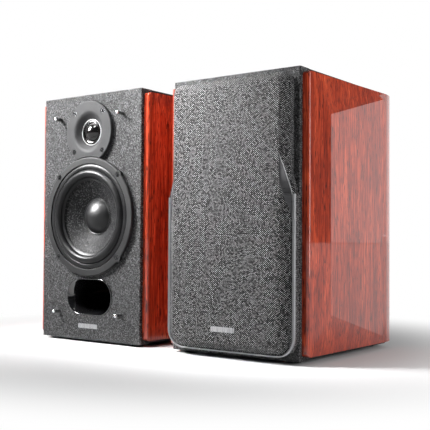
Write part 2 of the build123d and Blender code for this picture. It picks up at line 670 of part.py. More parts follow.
# ---- frame: moulded rim and bevels with a window, ribs and four pin sockets
with BuildPart() as grille_frame:
    add(under_skin)
    add(inside, mode=Mode.SUBTRACT)
    with BuildSketch(front_plane(gx, 8.0)):
        with Locations((0, z0 + 86.0)):
            RectangleRounded(98, 120, 10)
        with Locations((0, z0 + 193.0)):
            RectangleRounded(98, 78, 10)
    extrude(amount=10.0, mode=Mode.SUBTRACT)
    with BuildSketch(front_plane(gx, g_back)):
        with Locations(*[(sx * pin_x, z0 + pz) for sx in (-1, 1) for pz in (pin_z_low, pin_z_high)]):
            Circle(5.0)
    extrude(amount=g_plateau - 2.0 - g_back)
    with BuildSketch(front_plane(gx, g_back)):
        with Locations(*[(sx * pin_x, z0 + pz) for sx in (-1, 1) for pz in (pin_z_low, pin_z_high)]):
            Circle(pin_r + 0.3)
    extrude(amount=pin_out + 0.6 - g_back, mode=Mode.SUBTRACT)
    with BuildSketch(front_plane(gx, g_back)):
        with Locations((0, tw_z)):
            Circle(tw_r + 0.8)
    extrude(amount=4.2, mode=Mode.SUBTRACT)
    add(grille_trim.part, mode=Mode.SUBTRACT)
save(grille_frame.part, "right_grille_frame")

# ---- blank badge on the cloth
with BuildPart() as grille_badge:
    with BuildSketch(front_plane(gx, g_plateau)):
        with Locations((0, z0 + 24.4)):
            RectangleRounded(26.0, 6.4, 1.2)
    extrude(amount=0.8)
    fillet(grille_badge.faces().group_by(Axis.Y)[0].edges(), radius=0.3)
save(grille_badge.part, "right_grille_badge")

all_front = front_y - g_plateau - 0.8
all_back = front_y + cab_d + 3.2
print("front", all_front, "rear", all_back, "centre", (all_front + all_back) / 2)
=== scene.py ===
import bpy
import bmesh
import json
import math
import numpy as np
from math import sin, cos, radians, pi
from mathutils import Vector, Matrix

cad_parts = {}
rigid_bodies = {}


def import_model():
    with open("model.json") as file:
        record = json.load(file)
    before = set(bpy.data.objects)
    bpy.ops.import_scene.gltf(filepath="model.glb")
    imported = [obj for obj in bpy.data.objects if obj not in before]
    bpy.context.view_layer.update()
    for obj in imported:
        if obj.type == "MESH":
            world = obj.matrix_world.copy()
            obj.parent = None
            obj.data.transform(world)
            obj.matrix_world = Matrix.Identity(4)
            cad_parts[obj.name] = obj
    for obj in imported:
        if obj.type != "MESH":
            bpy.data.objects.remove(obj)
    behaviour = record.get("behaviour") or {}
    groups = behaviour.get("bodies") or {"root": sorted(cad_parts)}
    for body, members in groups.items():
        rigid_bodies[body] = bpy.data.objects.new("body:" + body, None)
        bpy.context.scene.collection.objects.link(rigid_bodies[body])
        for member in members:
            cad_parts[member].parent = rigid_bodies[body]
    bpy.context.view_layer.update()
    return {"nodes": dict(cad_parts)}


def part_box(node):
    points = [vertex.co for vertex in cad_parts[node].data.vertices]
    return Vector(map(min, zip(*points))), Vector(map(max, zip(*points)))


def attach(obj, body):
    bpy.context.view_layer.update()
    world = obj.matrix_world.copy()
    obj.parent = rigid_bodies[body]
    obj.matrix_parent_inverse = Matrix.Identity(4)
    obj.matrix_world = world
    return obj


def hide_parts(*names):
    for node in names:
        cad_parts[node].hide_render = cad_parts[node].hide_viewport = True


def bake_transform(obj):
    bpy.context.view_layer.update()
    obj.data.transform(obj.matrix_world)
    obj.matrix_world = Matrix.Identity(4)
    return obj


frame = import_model()
sc = bpy.context.scene
MM = 0.001

# ------------------------------------------------------------------ places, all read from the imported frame
_lo, _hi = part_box("left_baffle")
FY = _lo.y                      # front face of the baffles
Z0 = _lo.z                      # underside of the cabinets
Z1 = _hi.z
CX = {"left": (_lo.x + _hi.x) / 2}
_lo, _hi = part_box("right_baffle")
CX["right"] = (_lo.x + _hi.x) / 2
HALF_W = (_hi.x - _lo.x) / 2
_lo, _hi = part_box("left_cabinet")
BACK = _hi.y
_lo, _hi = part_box("left_woofer_trim_ring")
WZ = (_lo.z + _hi.z) / 2
_lo, _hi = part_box("left_tweeter_motor")
TZ = (_lo.z + _hi.z) / 2
_lo, _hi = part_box("left_port_tube")
PZ = (_lo.z + _hi.z) / 2

# ------------------------------------------------------------------ camera
a, e, r = radians(36.478), radians(1.713), radians(0.346)
fwd = Vector((-sin(a) * cos(e), cos(a) * cos(e), sin(e)))
rgt = Vector((cos(a), sin(a), 0))
up = rgt.cross(fwd)
rg2 = rgt * cos(r) + up * sin(r)
up2 = -rgt * sin(r) + up * cos(r)
cd = bpy.data.cameras.new("camera")
cam = bpy.data.objects.new("camera", cd)
sc.collection.objects.link(cam)
cd.sensor_width = 36.0
cd.lens = 68.65
cd.clip_start = 0.01
cd.clip_end = 100
cam.matrix_world = Matrix(((rg2.x, up2.x, -fwd.x, 0.517934), (rg2.y, up2.y, -fwd.y, -0.684226),
                           (rg2.z, up2.z, -fwd.z, 0.106656), (0, 0, 0, 1)))
sc.camera = cam
sc.view_settings.view_transform = "Standard"
sc.view_settings.look = "None"


# ------------------------------------------------------------------ node helper
class Mat:
    def __init__(self, name, base=(0.5, 0.5, 0.5), rough=0.5, metal=0.0, spec=0.5, coat=0.0, coat_rough=0.05, sheen=0.0, sheen_rough=0.5, ior=1.5):
        self.m = bpy.data.materials.new(name)
        self.m.use_nodes = True
        self.t = self.m.node_tree
        self.b = self.t.nodes["Principled BSDF"]
        self.co = self.t.nodes.new("ShaderNodeTexCoord").outputs["Object"]
        b = self.b.inputs
        b["Base Color"].default_value = (*base, 1)
        b["Roughness"].default_value = rough
        b["Metallic"].default_value = metal
        b["Specular IOR Level"].default_value = spec
        b["Coat Weight"].default_value = coat
        b["Coat Roughness"].default_value = coat_rough
        b["Sheen Weight"].default_value = sheen
        b["Sheen Roughness"].default_value = sheen_rough
        b["IOR"].default_value = ior

    def n(self, kind, **kw):
        x = self.t.nodes.new(kind)
        for k, v in kw.items():
            setattr(x, k, v)
        return x

    def put(self, inp, v):
        if isinstance(v, bpy.types.NodeSocket):
            self.t.links.new(v, inp)
        elif isinstance(v, (tuple, list)) and len(v) == 3 and inp.type == "RGBA":
            inp.default_value = (*v, 1)
        else:
            inp.default_value = v

    def set(self, name, v):
        self.put(self.b.inputs[name], v)

    def math(self, op, x, y=None, z=None, clamp=False):
        q = self.n("ShaderNodeMath", operation=op, use_clamp=clamp)
        self.put(q.inputs[0], x)
        if y is not None:
            self.put(q.inputs[1], y)
        if z is not None:
            self.put(q.inputs[2], z)
        return q.outputs[0]

    def sep(self, v):
        q = self.n("ShaderNodeSeparateXYZ")
        self.put(q.inputs[0], v)
        return q.outputs[0], q.outputs[1], q.outputs[2]

    def comb(self, x, y, z):
        q = self.n("ShaderNodeCombineXYZ")
        for i, v in enumerate((x, y, z)):
            self.put(q.inputs[i], v)
        return q.outputs[0]

    def mapping(self, v, scale=(1, 1, 1), loc=(0, 0, 0), rot=(0, 0, 0)):
        q = self.n("ShaderNodeMapping")
        self.put(q.inputs["Vector"], v)
        q.inputs["Scale"].default_value = scale
        q.inputs["Location"].default_value = loc
        q.inputs["Rotation"].default_value = rot
        return q.outputs[0]

    def noise(self, v, scale, detail=2.0, rough=0.5, dist=0.0, out="Fac"):
        q = self.n("ShaderNodeTexNoise")
        self.put(q.inputs["Vector"], v)
        q.inputs["Scale"].default_value = scale
        q.inputs["Detail"].default_value = detail
        q.inputs["Roughness"].default_value = rough
        q.inputs["Distortion"].default_value = dist
        return q.outputs[out]

    def voronoi(self, v, scale, feature="F1", out="Distance", rnd=1.0):
        q = self.n("ShaderNodeTexVoronoi", feature=feature)
        self.put(q.inputs["Vector"], v)
        q.inputs["Scale"].default_value = scale
        q.inputs["Randomness"].default_value = rnd
        return q.outputs[out]

    def white(self, v, out="Value"):
        q = self.n("ShaderNodeTexWhiteNoise", noise_dimensions="3D")
        self.put(q.inputs["Vector"], v)
        return q.outputs[out]

    def ramp(self, f, stops, interp="LINEAR"):
        q = self.n("ShaderNodeValToRGB")
        q.color_ramp.interpolation = interp
        el = q.color_ramp.elements
        while len(el) < len(stops):
            el.new(0.5)
        for s, (p, c) in zip(el, stops):
            s.position = p
            s.color = (*c, 1) if isinstance(c, tuple) else (c, c, c, 1)
        self.put(q.inputs[0], f)
        return q.outputs[0]

    def rng(self, v, a0, a1, b0, b1, smooth=False):
        q = self.n("ShaderNodeMapRange", interpolation_type="SMOOTHSTEP" if smooth else "LINEAR")
        q.clamp = True
        self.put(q.inputs[0], v)
        for i, x in enumerate((a0, a1, b0, b1)):
            q.inputs[i + 1].default_value = x
        return q.outputs[0]

    def mix(self, f, x, y, blend="MIX"):
        q = self.n("ShaderNodeMix", data_type="RGBA", blend_type=blend)
        self.put(q.inputs[0], f)
        self.put(q.inputs[6], x)
        self.put(q.inputs[7], y)
        return q.outputs[2]

    def bump(self, h, dist, strength=1.0, normal=None):
        q = self.n("ShaderNodeBump")
        self.put(q.inputs["Height"], h)
        q.inputs["Distance"].default_value = dist
        q.inputs["Strength"].default_value = strength
        if normal is not None:
            self.put(q.inputs["Normal"], normal)
        return q.outputs[0]


# ------------------------------------------------------------------ materials
def make_baffle():
    """Coarse leather-grain vinyl: pebbles about 1.3 mm across, each catching the light a little differently, with
    painted shade in the crevices between pebbles and a painted highlight on their crowns.
    """
    g = Mat("grain_vinyl", rough=0.42, spec=0.22)
    warp = g.noise(g.co, 420, 2, 0.5, 0, "Color")
    v = g.n("ShaderNodeVectorMath", operation="MULTIPLY_ADD")
    g.put(v.inputs[0], warp)
    v.inputs[1].default_value = (0.0011, 0.0011, 0.0011)
    g.put(v.inputs[2], g.co)
    vv = v.outputs[0]
    d = g.voronoi(vv, 1020, "F1")
    cell = g.voronoi(vv, 1020, "F1", "Color")
    edge = g.voronoi(vv, 1020, "DISTANCE_TO_EDGE")
    fine = g.noise(g.co, 3200, 2, 0.6)
    big = g.noise(g.co, 190, 3, 0.6)
    pebble_height_and_shade = g.math("MULTIPLY", g.rng(edge, 0.0, 0.28, 0.0, 1.0, True), g.rng(d, 0.0, 0.9, 1.0, 0.55))
    cr, cg, cb = g.sep(cell)
    h = g.math("ADD", g.math("MULTIPLY", pebble_height_and_shade, g.rng(cr, 0, 1, 0.55, 1.25)), g.math("MULTIPLY", fine, 0.16))
    h = g.math("ADD", h, g.math("MULTIPLY", big, 0.5))
    g.set("Normal", g.bump(h, 0.00045, 0.95))
    # painted shade and highlight: the base colour is darker in the crevices between the pebbles and lighter on their
    # crowns, besides a random tone for each grain
    tone = g.math("ADD", g.math("MULTIPLY", pebble_height_and_shade, 0.50), g.math("MULTIPLY", cg, 0.62))
    tone = g.math("ADD", tone, g.math("MULTIPLY", g.math("SUBTRACT", fine, 0.5), 0.7))
    g.set("Base Color", g.ramp(tone, [(0.16, (0.0018, 0.0018, 0.002)), (0.42, (0.0085, 0.0085, 0.009)), (0.66, (0.062, 0.062, 0.064)), (1.0, (0.25, 0.25, 0.254))]))
    g.set("Roughness", g.rng(cb, 0, 1, 0.36, 0.62))
    return g.m


def make_cabinet():
    """Satin black vinyl wrap with a fine calendered grain."""
    g = Mat("black_vinyl", rough=0.42, spec=0.22)
    n1 = g.noise(g.co, 1500, 3, 0.6)
    n2 = g.noise(g.mapping(g.co, (60, 60, 600)), 1.0, 3, 0.55)
    n3 = g.noise(g.co, 22, 3, 0.6)
    g.set("Base Color", g.ramp(n3, [(0.25, (0.0045, 0.0045, 0.0046)), (0.75, (0.0085, 0.0084, 0.0084))]))
    g.set("Roughness", g.rng(n3, 0.3, 0.7, 0.34, 0.50))
    h = g.math("ADD", g.math("MULTIPLY", n1, 0.7), g.math("MULTIPLY", n2, 0.3))
    g.set("Normal", g.bump(h, 0.00006, 0.8))
    return g.m


def make_wood(name, seed, deep=1.0):
    """Reddish figured wood, grain upright, under a clear gloss lacquer."""
    g = Mat(name, rough=0.40, spec=0.10, coat=1.0, coat_rough=0.03, ior=1.5)
    g.b.inputs["Coat IOR"].default_value = 1.52
    p = g.mapping(g.co, (1, 1, 1), (seed, seed * 1.7, seed * 0.6))
    slow = g.noise(g.mapping(p, (9, 9, 2.2)), 1.0, 3, 0.55, 0.4)
    figure = g.noise(g.mapping(p, (34, 34, 4.5)), 1.0, 4, 0.55, 1.3)
    # upright growth bands, wandering with height
    x, y, z = g.sep(p)
    wander = g.math("MULTIPLY", g.math("SUBTRACT", slow, 0.5), 0.085)
    q = g.comb(g.math("ADD", x, wander), g.math("ADD", y, wander), g.math("MULTIPLY", z, 0.06))
    bands = g.noise(q, 150, 5, 0.62, 0.25)
    streak = g.noise(g.mapping(p, (520, 520, 13)), 1.0, 3, 0.6)
    fibre = g.noise(g.mapping(p, (1050, 1050, 48)), 1.0, 2, 0.5)
    pores = g.noise(g.mapping(p, (1150, 1150, 105)), 1.0, 1, 0.4)
    pore = g.rng(pores, 0.60, 0.66, 0.0, 1.0, True)
    tone = g.math("ADD", g.math("MULTIPLY", bands, 0.55), g.math("MULTIPLY", figure, 0.45))
    tone = g.math("ADD", tone, g.math("MULTIPLY", g.math("SUBTRACT", streak, 0.5), 0.55))
    col = g.ramp(tone, [(0.30, (0.175 * deep, 0.0150 * deep, 0.0048 * deep)), (0.44, (0.300 * deep, 0.0300 * deep, 0.0095 * deep)),
                        (0.56, (0.50 * deep, 0.0600 * deep, 0.0200 * deep)), (0.70, (0.68 * deep, 0.105 * deep, 0.038 * deep))])
    col = g.mix(g.rng(fibre, 0.38, 0.62, 0.0, 0.70), col, (0.15 * deep, 0.012, 0.005))
    col = g.mix(g.math("MULTIPLY", pore, 0.88), col, (0.040, 0.0060, 0.0040))
    g.set("Base Color", col)
    g.set("Normal", g.bump(g.math("ADD", g.math("MULTIPLY", streak, 0.5), g.math("MULTIPLY", pore, -0.8)), 0.00004, 0.6))
    peel = g.noise(g.co, 260, 1, 0.4)
    g.set("Coat Normal", g.bump(peel, 0.000010, 0.5))
    return g.m


def make_cloth():
    """Coarse plain-weave grille cloth: mixed dark and silver-grey yarn, period about 1.1 mm, on UVs in metres. The base
    colour follows the yarn height, so each yarn is painted lighter at its crown and darker down its flanks (painted
    shade).
    """
    g = Mat("grille_fabric", rough=0.46, spec=0.16, sheen=0.0, sheen_rough=0.45)
    uv = g.n("ShaderNodeUVMap")
    uv.uv_map = "UVMap"
    warp = g.noise(uv.outputs[0], 260, 2, 0.5, 0, "Color")
    w = g.n("ShaderNodeVectorMath", operation="MULTIPLY_ADD")
    g.put(w.inputs[0], warp)
    w.inputs[1].default_value = (0.0007, 0.0007, 0.0)
    g.put(w.inputs[2], uv.outputs[0])
    u, v, _ = g.sep(w.outputs[0])
    P = 0.00106
    fu, fv = g.math("DIVIDE", u, P), g.math("DIVIDE", v, P * 0.86)
    iu, iv = g.math("FLOOR", fu), g.math("FLOOR", fv)
    ru, rv = g.math("FRACT", fu), g.math("FRACT", fv)
    par = g.math("MODULO", g.math("ADD", g.math("ADD", iu, iv), 4000.0), 2.0)       # which yarn is on top here
    su = g.math("SINE", g.math("MULTIPLY", ru, pi))
    sv = g.math("SINE", g.math("MULTIPLY", rv, pi))
    over = g.math("MULTIPLY", g.math("POWER", su, 0.9), g.math("POWER", sv, 1.5))
    under = g.math("MULTIPLY", g.math("POWER", su, 1.5), g.math("POWER", sv, 0.9))
    knot_height_and_shade = g.math("ADD", g.math("MULTIPLY", par, over), g.math("MULTIPLY", g.math("SUBTRACT", 1.0, par), g.math("MULTIPLY", under, 0.32)))
    cell = g.white(g.comb(iu, iv, 0.0))
    cell2 = g.white(g.comb(iv, iu, 7.0))
    fuzz = g.noise(uv.outputs[0], 4200, 2, 0.6)
    h = g.math("ADD", g.math("MULTIPLY", knot_height_and_shade, g.rng(cell, 0, 1, 0.6, 1.25)), g.math("MULTIPLY", fuzz, 0.18))
    g.set("Normal", g.bump(h, 0.00050, 1.0))
    # painted shade: tone follows the yarn height, lighter at each crown and darker down the flanks; the dark gaps are
    # partly the black frame behind the weave, partly painted shade
    tone = g.math("MULTIPLY", knot_height_and_shade, g.rng(cell2, 0, 1, 0.50, 1.25))
    tone = g.math("MULTIPLY", tone, g.rng(g.noise(uv.outputs[0], 560, 1, 0.5), 0.35, 0.65, 0.80, 1.22))
    tone = g.math("ADD", tone, g.math("MULTIPLY", g.math("SUBTRACT", fuzz, 0.5), 0.25))
    g.set("Base Color", g.ramp(tone, [(0.0, (0.0015, 0.0015, 0.0017)), (0.26, (0.003, 0.003, 0.0033)), (0.42, (0.040, 0.040, 0.042)), (0.62, (0.44, 0.44, 0.445)), (1.0, (0.80, 0.80, 0.81))]))
    return g.m


def make_plastic(name, base, rough, bump=0.00003, scale=1400, spec=0.5, coat=0.0, vary=0.25, metal=0.0):
    """Moulded plastic: a fine sparked skin, slightly uneven tone and gloss."""
    g = Mat(name, rough=rough, spec=spec, coat=coat, metal=metal)
    n1 = g.noise(g.co, scale, 3, 0.6)
    n2 = g.noise(g.co, 35, 3, 0.6)
    lo = tuple(c * (1 - vary) for c in base)
    hi = tuple(c * (1 + vary) for c in base)
    g.set("Base Color", g.ramp(n2, [(0.25, lo), (0.75, hi)]))
    g.set("Roughness", g.rng(n2, 0.3, 0.7, rough * 0.86, min(1.0, rough * 1.16)))
    g.set("Normal", g.bump(n1, bump, 0.7))
    return g.m


def make_metal(name, base, rough, axis=(1, 1, 40), scale=1.0, bump=0.00001, vary=0.15):
    """Brushed or turned metal with fine lines along one direction."""
    g = Mat(name, base=base, rough=rough, metal=1.0)
    n = g.noise(g.mapping(g.co, tuple(900 * q / max(axis) for q in axis)), scale * 3.0, 3, 0.6)
    s = g.noise(g.co, 60, 3, 0.6)
    g.set("Base Color", g.ramp(s, [(0.2, tuple(c * (1 - vary) for c in base)), (0.8, tuple(min(1, c * (1 + vary)) for c in base))]))
    g.set("Roughness", g.rng(n, 0.3, 0.7, rough * 0.75, min(1, rough * 1.3)))
    g.set("Normal", g.bump(n, bump, 0.6))
    return g.m


def make_cone():
    """Pressed paper cone, black coating, visible fibres and a faint sparkle."""
    g = Mat("cone_paper", rough=0.50, spec=0.14)
    n1 = g.noise(g.co, 1100, 3, 0.65, 0.8)
    n2 = g.noise(g.co, 5200, 2, 0.6)
    fleck = g.voronoi(g.co, 1000, "F1", "Color")
    fr, fg, fb = g.sep(fleck)
    g.set("Base Color", g.ramp(g.math("ADD", g.math("MULTIPLY", n1, 0.45), g.math("MULTIPLY", fr, 0.6)),
                               [(0.25, (0.0015, 0.0015, 0.002)), (0.50, (0.003, 0.003, 0.0034)), (0.68, (0.011, 0.011, 0.0115)), (0.85, (0.060, 0.060, 0.061))]))
    g.set("Roughness", g.rng(fg, 0, 1, 0.40, 0.75))
    g.set("Normal", g.bump(g.math("ADD", n1, g.math("MULTIPLY", n2, 0.4)), 0.00016, 0.8))
    return g.m


def make_rubber(name, base, rough, bump=0.00004):
    g = Mat(name, rough=rough, spec=0.19)
    n1 = g.noise(g.co, 2300, 2, 0.6)
    n2 = g.noise(g.co, 90, 3, 0.6)
    g.set("Base Color", g.ramp(n2, [(0.2, tuple(c * 0.75 for c in base)), (0.8, tuple(c * 1.3 for c in base))]))
    g.set("Roughness", g.rng(n2, 0.3, 0.7, rough * 0.85, rough * 1.15))
    g.set("Normal", g.bump(n1, bump, 0.7))
    return g.m


def make_spider():
    """Resin-treated woven cloth."""
    g = Mat("spider_cloth", rough=0.8, spec=0.3, sheen=0.2)
    x, y, z = g.sep(g.co)
    wx = g.math("SINE", g.math("MULTIPLY", x, 2 * pi / 0.0007))
    wz = g.math("SINE", g.math("MULTIPLY", z, 2 * pi / 0.0007))
    w = g.math("MULTIPLY", wx, wz)
    n = g.noise(g.co, 300, 3, 0.6)
    g.set("Base Color", g.mix(g.rng(w, -1, 1, 0, 1), g.ramp(n, [(0.3, (0.30, 0.17, 0.055)), (0.7, (0.46, 0.29, 0.11))]), (0.16, 0.085, 0.03)))
    g.set("Normal", g.bump(w, 0.00008, 0.8))
    return g.m


def make_ferrite():
    g = Mat("magnet_ferrite", rough=0.62, spec=0.4)
    n = g.noise(g.co, 900, 4, 0.65)
    s = g.voronoi(g.co, 380, "F1")
    g.set("Base Color", g.ramp(n, [(0.3, (0.035, 0.035, 0.038)), (0.7, (0.085, 0.085, 0.09))]))
    g.set("Normal", g.bump(g.math("ADD", n, g.math("MULTIPLY", s, 0.4)), 0.00010, 0.8))
    return g.m


def make_board():
    """Green board with lighter tracks; parts standing above the board, told apart by their height, get brown
    coil-winding stripes.
    """
    g = Mat("circuit_board", rough=0.45, spec=0.5)
    x, y, z = g.sep(g.co)
    tx = g.math("GREATER_THAN", g.math("SINE", g.math("MULTIPLY", x, 2 * pi / 0.0052)), 0.55)
    ty = g.math("GREATER_THAN", g.math("SINE", g.math("MULTIPLY", y, 2 * pi / 0.0071)), 0.7)
    tr = g.math("MAXIMUM", tx, ty)
    n = g.noise(g.co, 120, 3, 0.6)
    board = g.mix(tr, g.ramp(n, [(0.3, (0.010, 0.075, 0.028)), (0.7, (0.018, 0.115, 0.045))]), (0.05, 0.22, 0.07))
    wire = g.math("SINE", g.math("MULTIPLY", z, 2 * pi / 0.0009))
    parts = g.mix(g.rng(wire, -0.4, 0.6, 0, 1), (0.11, 0.035, 0.012), (0.42, 0.16, 0.055))
    g.set("Base Color", g.mix(g.math("GREATER_THAN", z, Z0 + 0.0187), board, parts))
    g.set("Normal", g.bump(g.math("ADD", g.math("MULTIPLY", tr, 0.5), wire), 0.00008, 0.6))
    return g.m


M = {
    "baffle": make_baffle(),
    "cabinet": make_cabinet(),
    "wood_a": make_wood("red_wood_a", 0.37),
    "wood_b": make_wood("red_wood_b", 1.91),
    "wood_c": make_wood("red_wood_c", 3.13),
    "wood_d": make_wood("red_wood_d", 4.77),
    "cloth": make_cloth(),
    "driver": make_plastic("driver_plastic", (0.030, 0.030, 0.031), 0.52, 0.00003, 1600, 0.13),
    "ring": make_plastic("ring_plastic", (0.016, 0.016, 0.0165), 0.46, 0.000025, 1600, 0.26),
    "port": make_plastic("port_plastic", (0.0045, 0.0045, 0.005), 0.10, 0.000006, 500, 0.5, 1.0),
    "dome": make_plastic("dome_film", (0.004, 0.0035, 0.0035), 0.10, 0.000004, 300, 0.4, 0.5),
    "cap": make_plastic("cap_plastic", (0.004, 0.004, 0.0044), 0.38, 0.000015, 1800, 0.42),
    "cone": make_cone(),
    "surround": make_rubber("surround_rubber", (0.008, 0.008, 0.0085), 0.34, 0.00002),
    "foot": make_rubber("foot_rubber", (0.016, 0.016, 0.016), 0.75, 0.00008),
    "spider": make_spider(),
    "steel": make_metal("motor_steel", (0.42, 0.42, 0.43), 0.34),
    "pin": make_metal("pin_steel", (0.78, 0.78, 0.79), 0.16, (40, 1, 1), 1.0, 0.000005),
    "pin_dark": make_plastic("pin_oxide", (0.035, 0.035, 0.036), 0.34, 0.00001, 900, 0.6, 0.0, 0.25, 0.0),
    "screw": make_metal("screw_black", (0.13, 0.13, 0.134), 0.24, (1, 1, 1), 1.0, 0.00001),
    "basket": make_plastic("basket_steel", (0.014, 0.014, 0.015), 0.42, 0.00005, 900),
    "ferrite": make_ferrite(),
    "board": make_board(),
    "copper": make_metal("coil_copper", (0.72, 0.33, 0.18), 0.35, (1, 40, 1), 1.0, 0.00003),
    "cup": make_plastic("cup_plastic", (0.017, 0.017, 0.018), 0.46, 0.00008, 700),
    "brass": make_metal("post_brass", (0.86, 0.62, 0.26), 0.20, (1, 40, 1), 1.0, 0.00001),
    "knob_red": make_plastic("knob_red", (0.42, 0.012, 0.010), 0.30, 0.00002, 900, 0.5, 0.3),
    "knob_black": make_plastic("knob_black", (0.012, 0.012, 0.012), 0.32, 0.00002, 900, 0.5, 0.3),
    "bracket": make_plastic("bracket_steel", (0.018, 0.018, 0.019), 0.38, 0.00007, 650, 0.5),
    "frame": make_plastic("grille_plastic", (0.014, 0.014, 0.014), 0.48, 0.00006, 800),
    "trim": make_metal("trim_metal", (0.28, 0.283, 0.29), 0.34, (1, 1, 40), 1.0, 0.000006, 0.06),
    # blade: a darker copy of the silver trim metal, painted dark for the shade the blade facets show
    "blade": make_metal("blade_metal", (0.10, 0.10, 0.104), 0.34, (1, 1, 40), 1.0, 0.000004, 0.08),
    "badge": make_metal("badge_metal", (0.46, 0.46, 0.47), 0.30, (40, 1, 1), 1.0, 0.000006, 0.06),
    "line": make_plastic("ring_line", (0.34, 0.34, 0.345), 0.30, 0.000003, 900, 0.6, 0.3, 0.05),
}


def paint(node, m):
    o = frame["nodes"][node] if isinstance(frame["nodes"], dict) else bpy.data.objects[node]
    if isinstance(o, str):
        o = bpy.data.objects[o]
    if not o.material_slots:
        o.data.materials.append(m)
    for s in o.material_slots:
        s.material = m
    return o


def node_obj(node):
    return bpy.data.objects[node]


# ------------------------------------------------------------------ mesh helpers
def obj_from(name, verts, faces, mats, body, rep=(), sharp=35, uvs=None, weighted=False):
    me = bpy.data.meshes.new(name)
    me.from_pydata([tuple(v) for v in verts], [], [tuple(f) for f in faces])
    me.update()
    bm = bmesh.new()
    bm.from_mesh(me)
    bmesh.ops.recalc_face_normals(bm, faces=bm.faces)
    bm.to_mesh(me)
    bm.free()
    return finish_obj(name, me, mats, body, rep, sharp, weighted)


def finish_obj(name, me, mats, body, rep=(), sharp=35, weighted=False):
    for m in (mats if isinstance(mats, (list, tuple)) else [mats]):
        me.materials.append(m)
    for p in me.polygons:
        p.use_smooth = True
    if sharp:
        me.set_sharp_from_angle(angle=radians(sharp))
    o = bpy.data.objects.new(name, me)
    sc.collection.objects.link(o)
    if weighted:
        w = o.modifiers.new("normals", "WEIGHTED_NORMAL")
        w.weight = 100
        w.keep_sharp = True
    if rep:
        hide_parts(*rep)
    if body:
        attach(o, body)
    return o


def fillet2d(pts, rad, n=5, closed=True):
    """Round the corners of a polyline of (r, d) points; rad is one radius or one for each corner."""
    out = []
    N = len(pts)
    for i, p in enumerate(pts):
        rr = rad[i] if isinstance(rad, (list, tuple)) else rad
        if not closed and i in (0, N - 1) or rr <= 0:
            out.append(tuple(p))
            continue
        p = np.array(p, float)
        q = np.array(pts[i - 1], float)
        s = np.array(pts[(i + 1) % N], float)
        d1, d2 = q - p, s - p
        l1, l2 = np.linalg.norm(d1), np.linalg.norm(d2)
        d1, d2 = d1 / l1, d2 / l2
        ang = math.acos(max(-1, min(1, float(d1 @ d2))))
        if ang > radians(176) or ang < radians(4):
            out.append(tuple(p))
            continue
        t = min(rr / math.tan(ang / 2), 0.48 * l1, 0.48 * l2)
        A, B = p + d1 * t, p + d2 * t
        for k in range(n + 1):
            u = k / n
            out.append(tuple((1 - u) ** 2 * A + 2 * u * (1 - u) * p + u * u * B))
    return out


def lathe(name, prof, cx, zc, mats, body, rep=(), seg=144, closed=True, sharp=35, y0=None, flip=1, wave=None):
    """Turn a profile of (radius mm, mm in front of the baffle) round an axis along Y."""
    y0 = FY if y0 is None else y0
    V, F = [], []
    rings = []
    for r_, d_ in prof:
        if r_ < 1e-6:
            rings.append([len(V)])
            V.append((cx, y0 - flip * d_ * MM, zc))
        else:
            ring = []
            for k in range(seg):
                t = 2 * pi * k / seg
                rr = r_ + (wave(r_, d_, t) if wave else 0)
                ring.append(len(V))
                V.append((cx + rr * MM * cos(t), y0 - flip * d_ * MM, zc + rr * MM * sin(t)))
            rings.append(ring)
    pairs = list(zip(rings[:-1], rings[1:]))
    if closed and len(rings[0]) > 1 and len(rings[-1]) > 1:
        pairs.append((rings[-1], rings[0]))
    for A, B in pairs:
        for k in range(seg):
            k2 = (k + 1) % seg
            if len(A) == 1 and len(B) == 1:
                continue
            if len(A) == 1:
                F.append((A[0], B[k], B[k2]))
            elif len(B) == 1:
                F.append((A[k], B[0], A[k2]))
            else:
                F.append((A[k], B[k], B[k2], A[k2]))
    return obj_from(name, V, F, mats, body, rep, sharp)


def arc3(p0, p1, p2, n=24):
    """Points on the circle through three points, p0 to p2."""
    (x1, y1), (x2, y2), (x3, y3) = p0, p1, p2
    A = np.array([[x2 - x1, y2 - y1], [x3 - x1, y3 - y1]]) * 2
    b = np.array([x2 ** 2 - x1 ** 2 + y2 ** 2 - y1 ** 2, x3 ** 2 - x1 ** 2 + y3 ** 2 - y1 ** 2])
    c = np.linalg.solve(A, b)
    R = math.hypot(x1 - c[0], y1 - c[1])
    t0, t1, t2 = (math.atan2(p[1] - c[1], p[0] - c[0]) for p in (p0, p1, p2))
    best = None
    for k in (-1, 0, 1):
        e2 = t2 + 2 * pi * k
        for m in (-1, 0, 1):
            e1 = t1 + 2 * pi * m
            if (t0 < e1 < e2 or t0 > e1 > e2) and abs(e2 - t0) < 2 * pi:
                best = e2
    return [(c[0] + R * cos(t0 + (best - t0) * i / n), c[1] + R * sin(t0 + (best - t0) * i / n)) for i in range(n + 1)]


def spline(pts, n=8):
    """Catmull-Rom points through pts."""
    P = [np.array(p, float) for p in pts]
    P = [2 * P[0] - P[1]] + P + [2 * P[-1] - P[-2]]
    out = []
    for i in range(1, len(P) - 2):
        for k in range(n):
            t = k / n
            out.append(tuple(0.5 * ((2 * P[i]) + (-P[i - 1] + P[i + 1]) * t + (2 * P[i - 1] - 5 * P[i] + 4 * P[i + 1] - P[i + 2]) * t * t
                                    + (-P[i - 1] + 3 * P[i] - 3 * P[i + 1] + P[i + 2]) * t ** 3)))
    out.append(tuple(P[-2]))
    return out


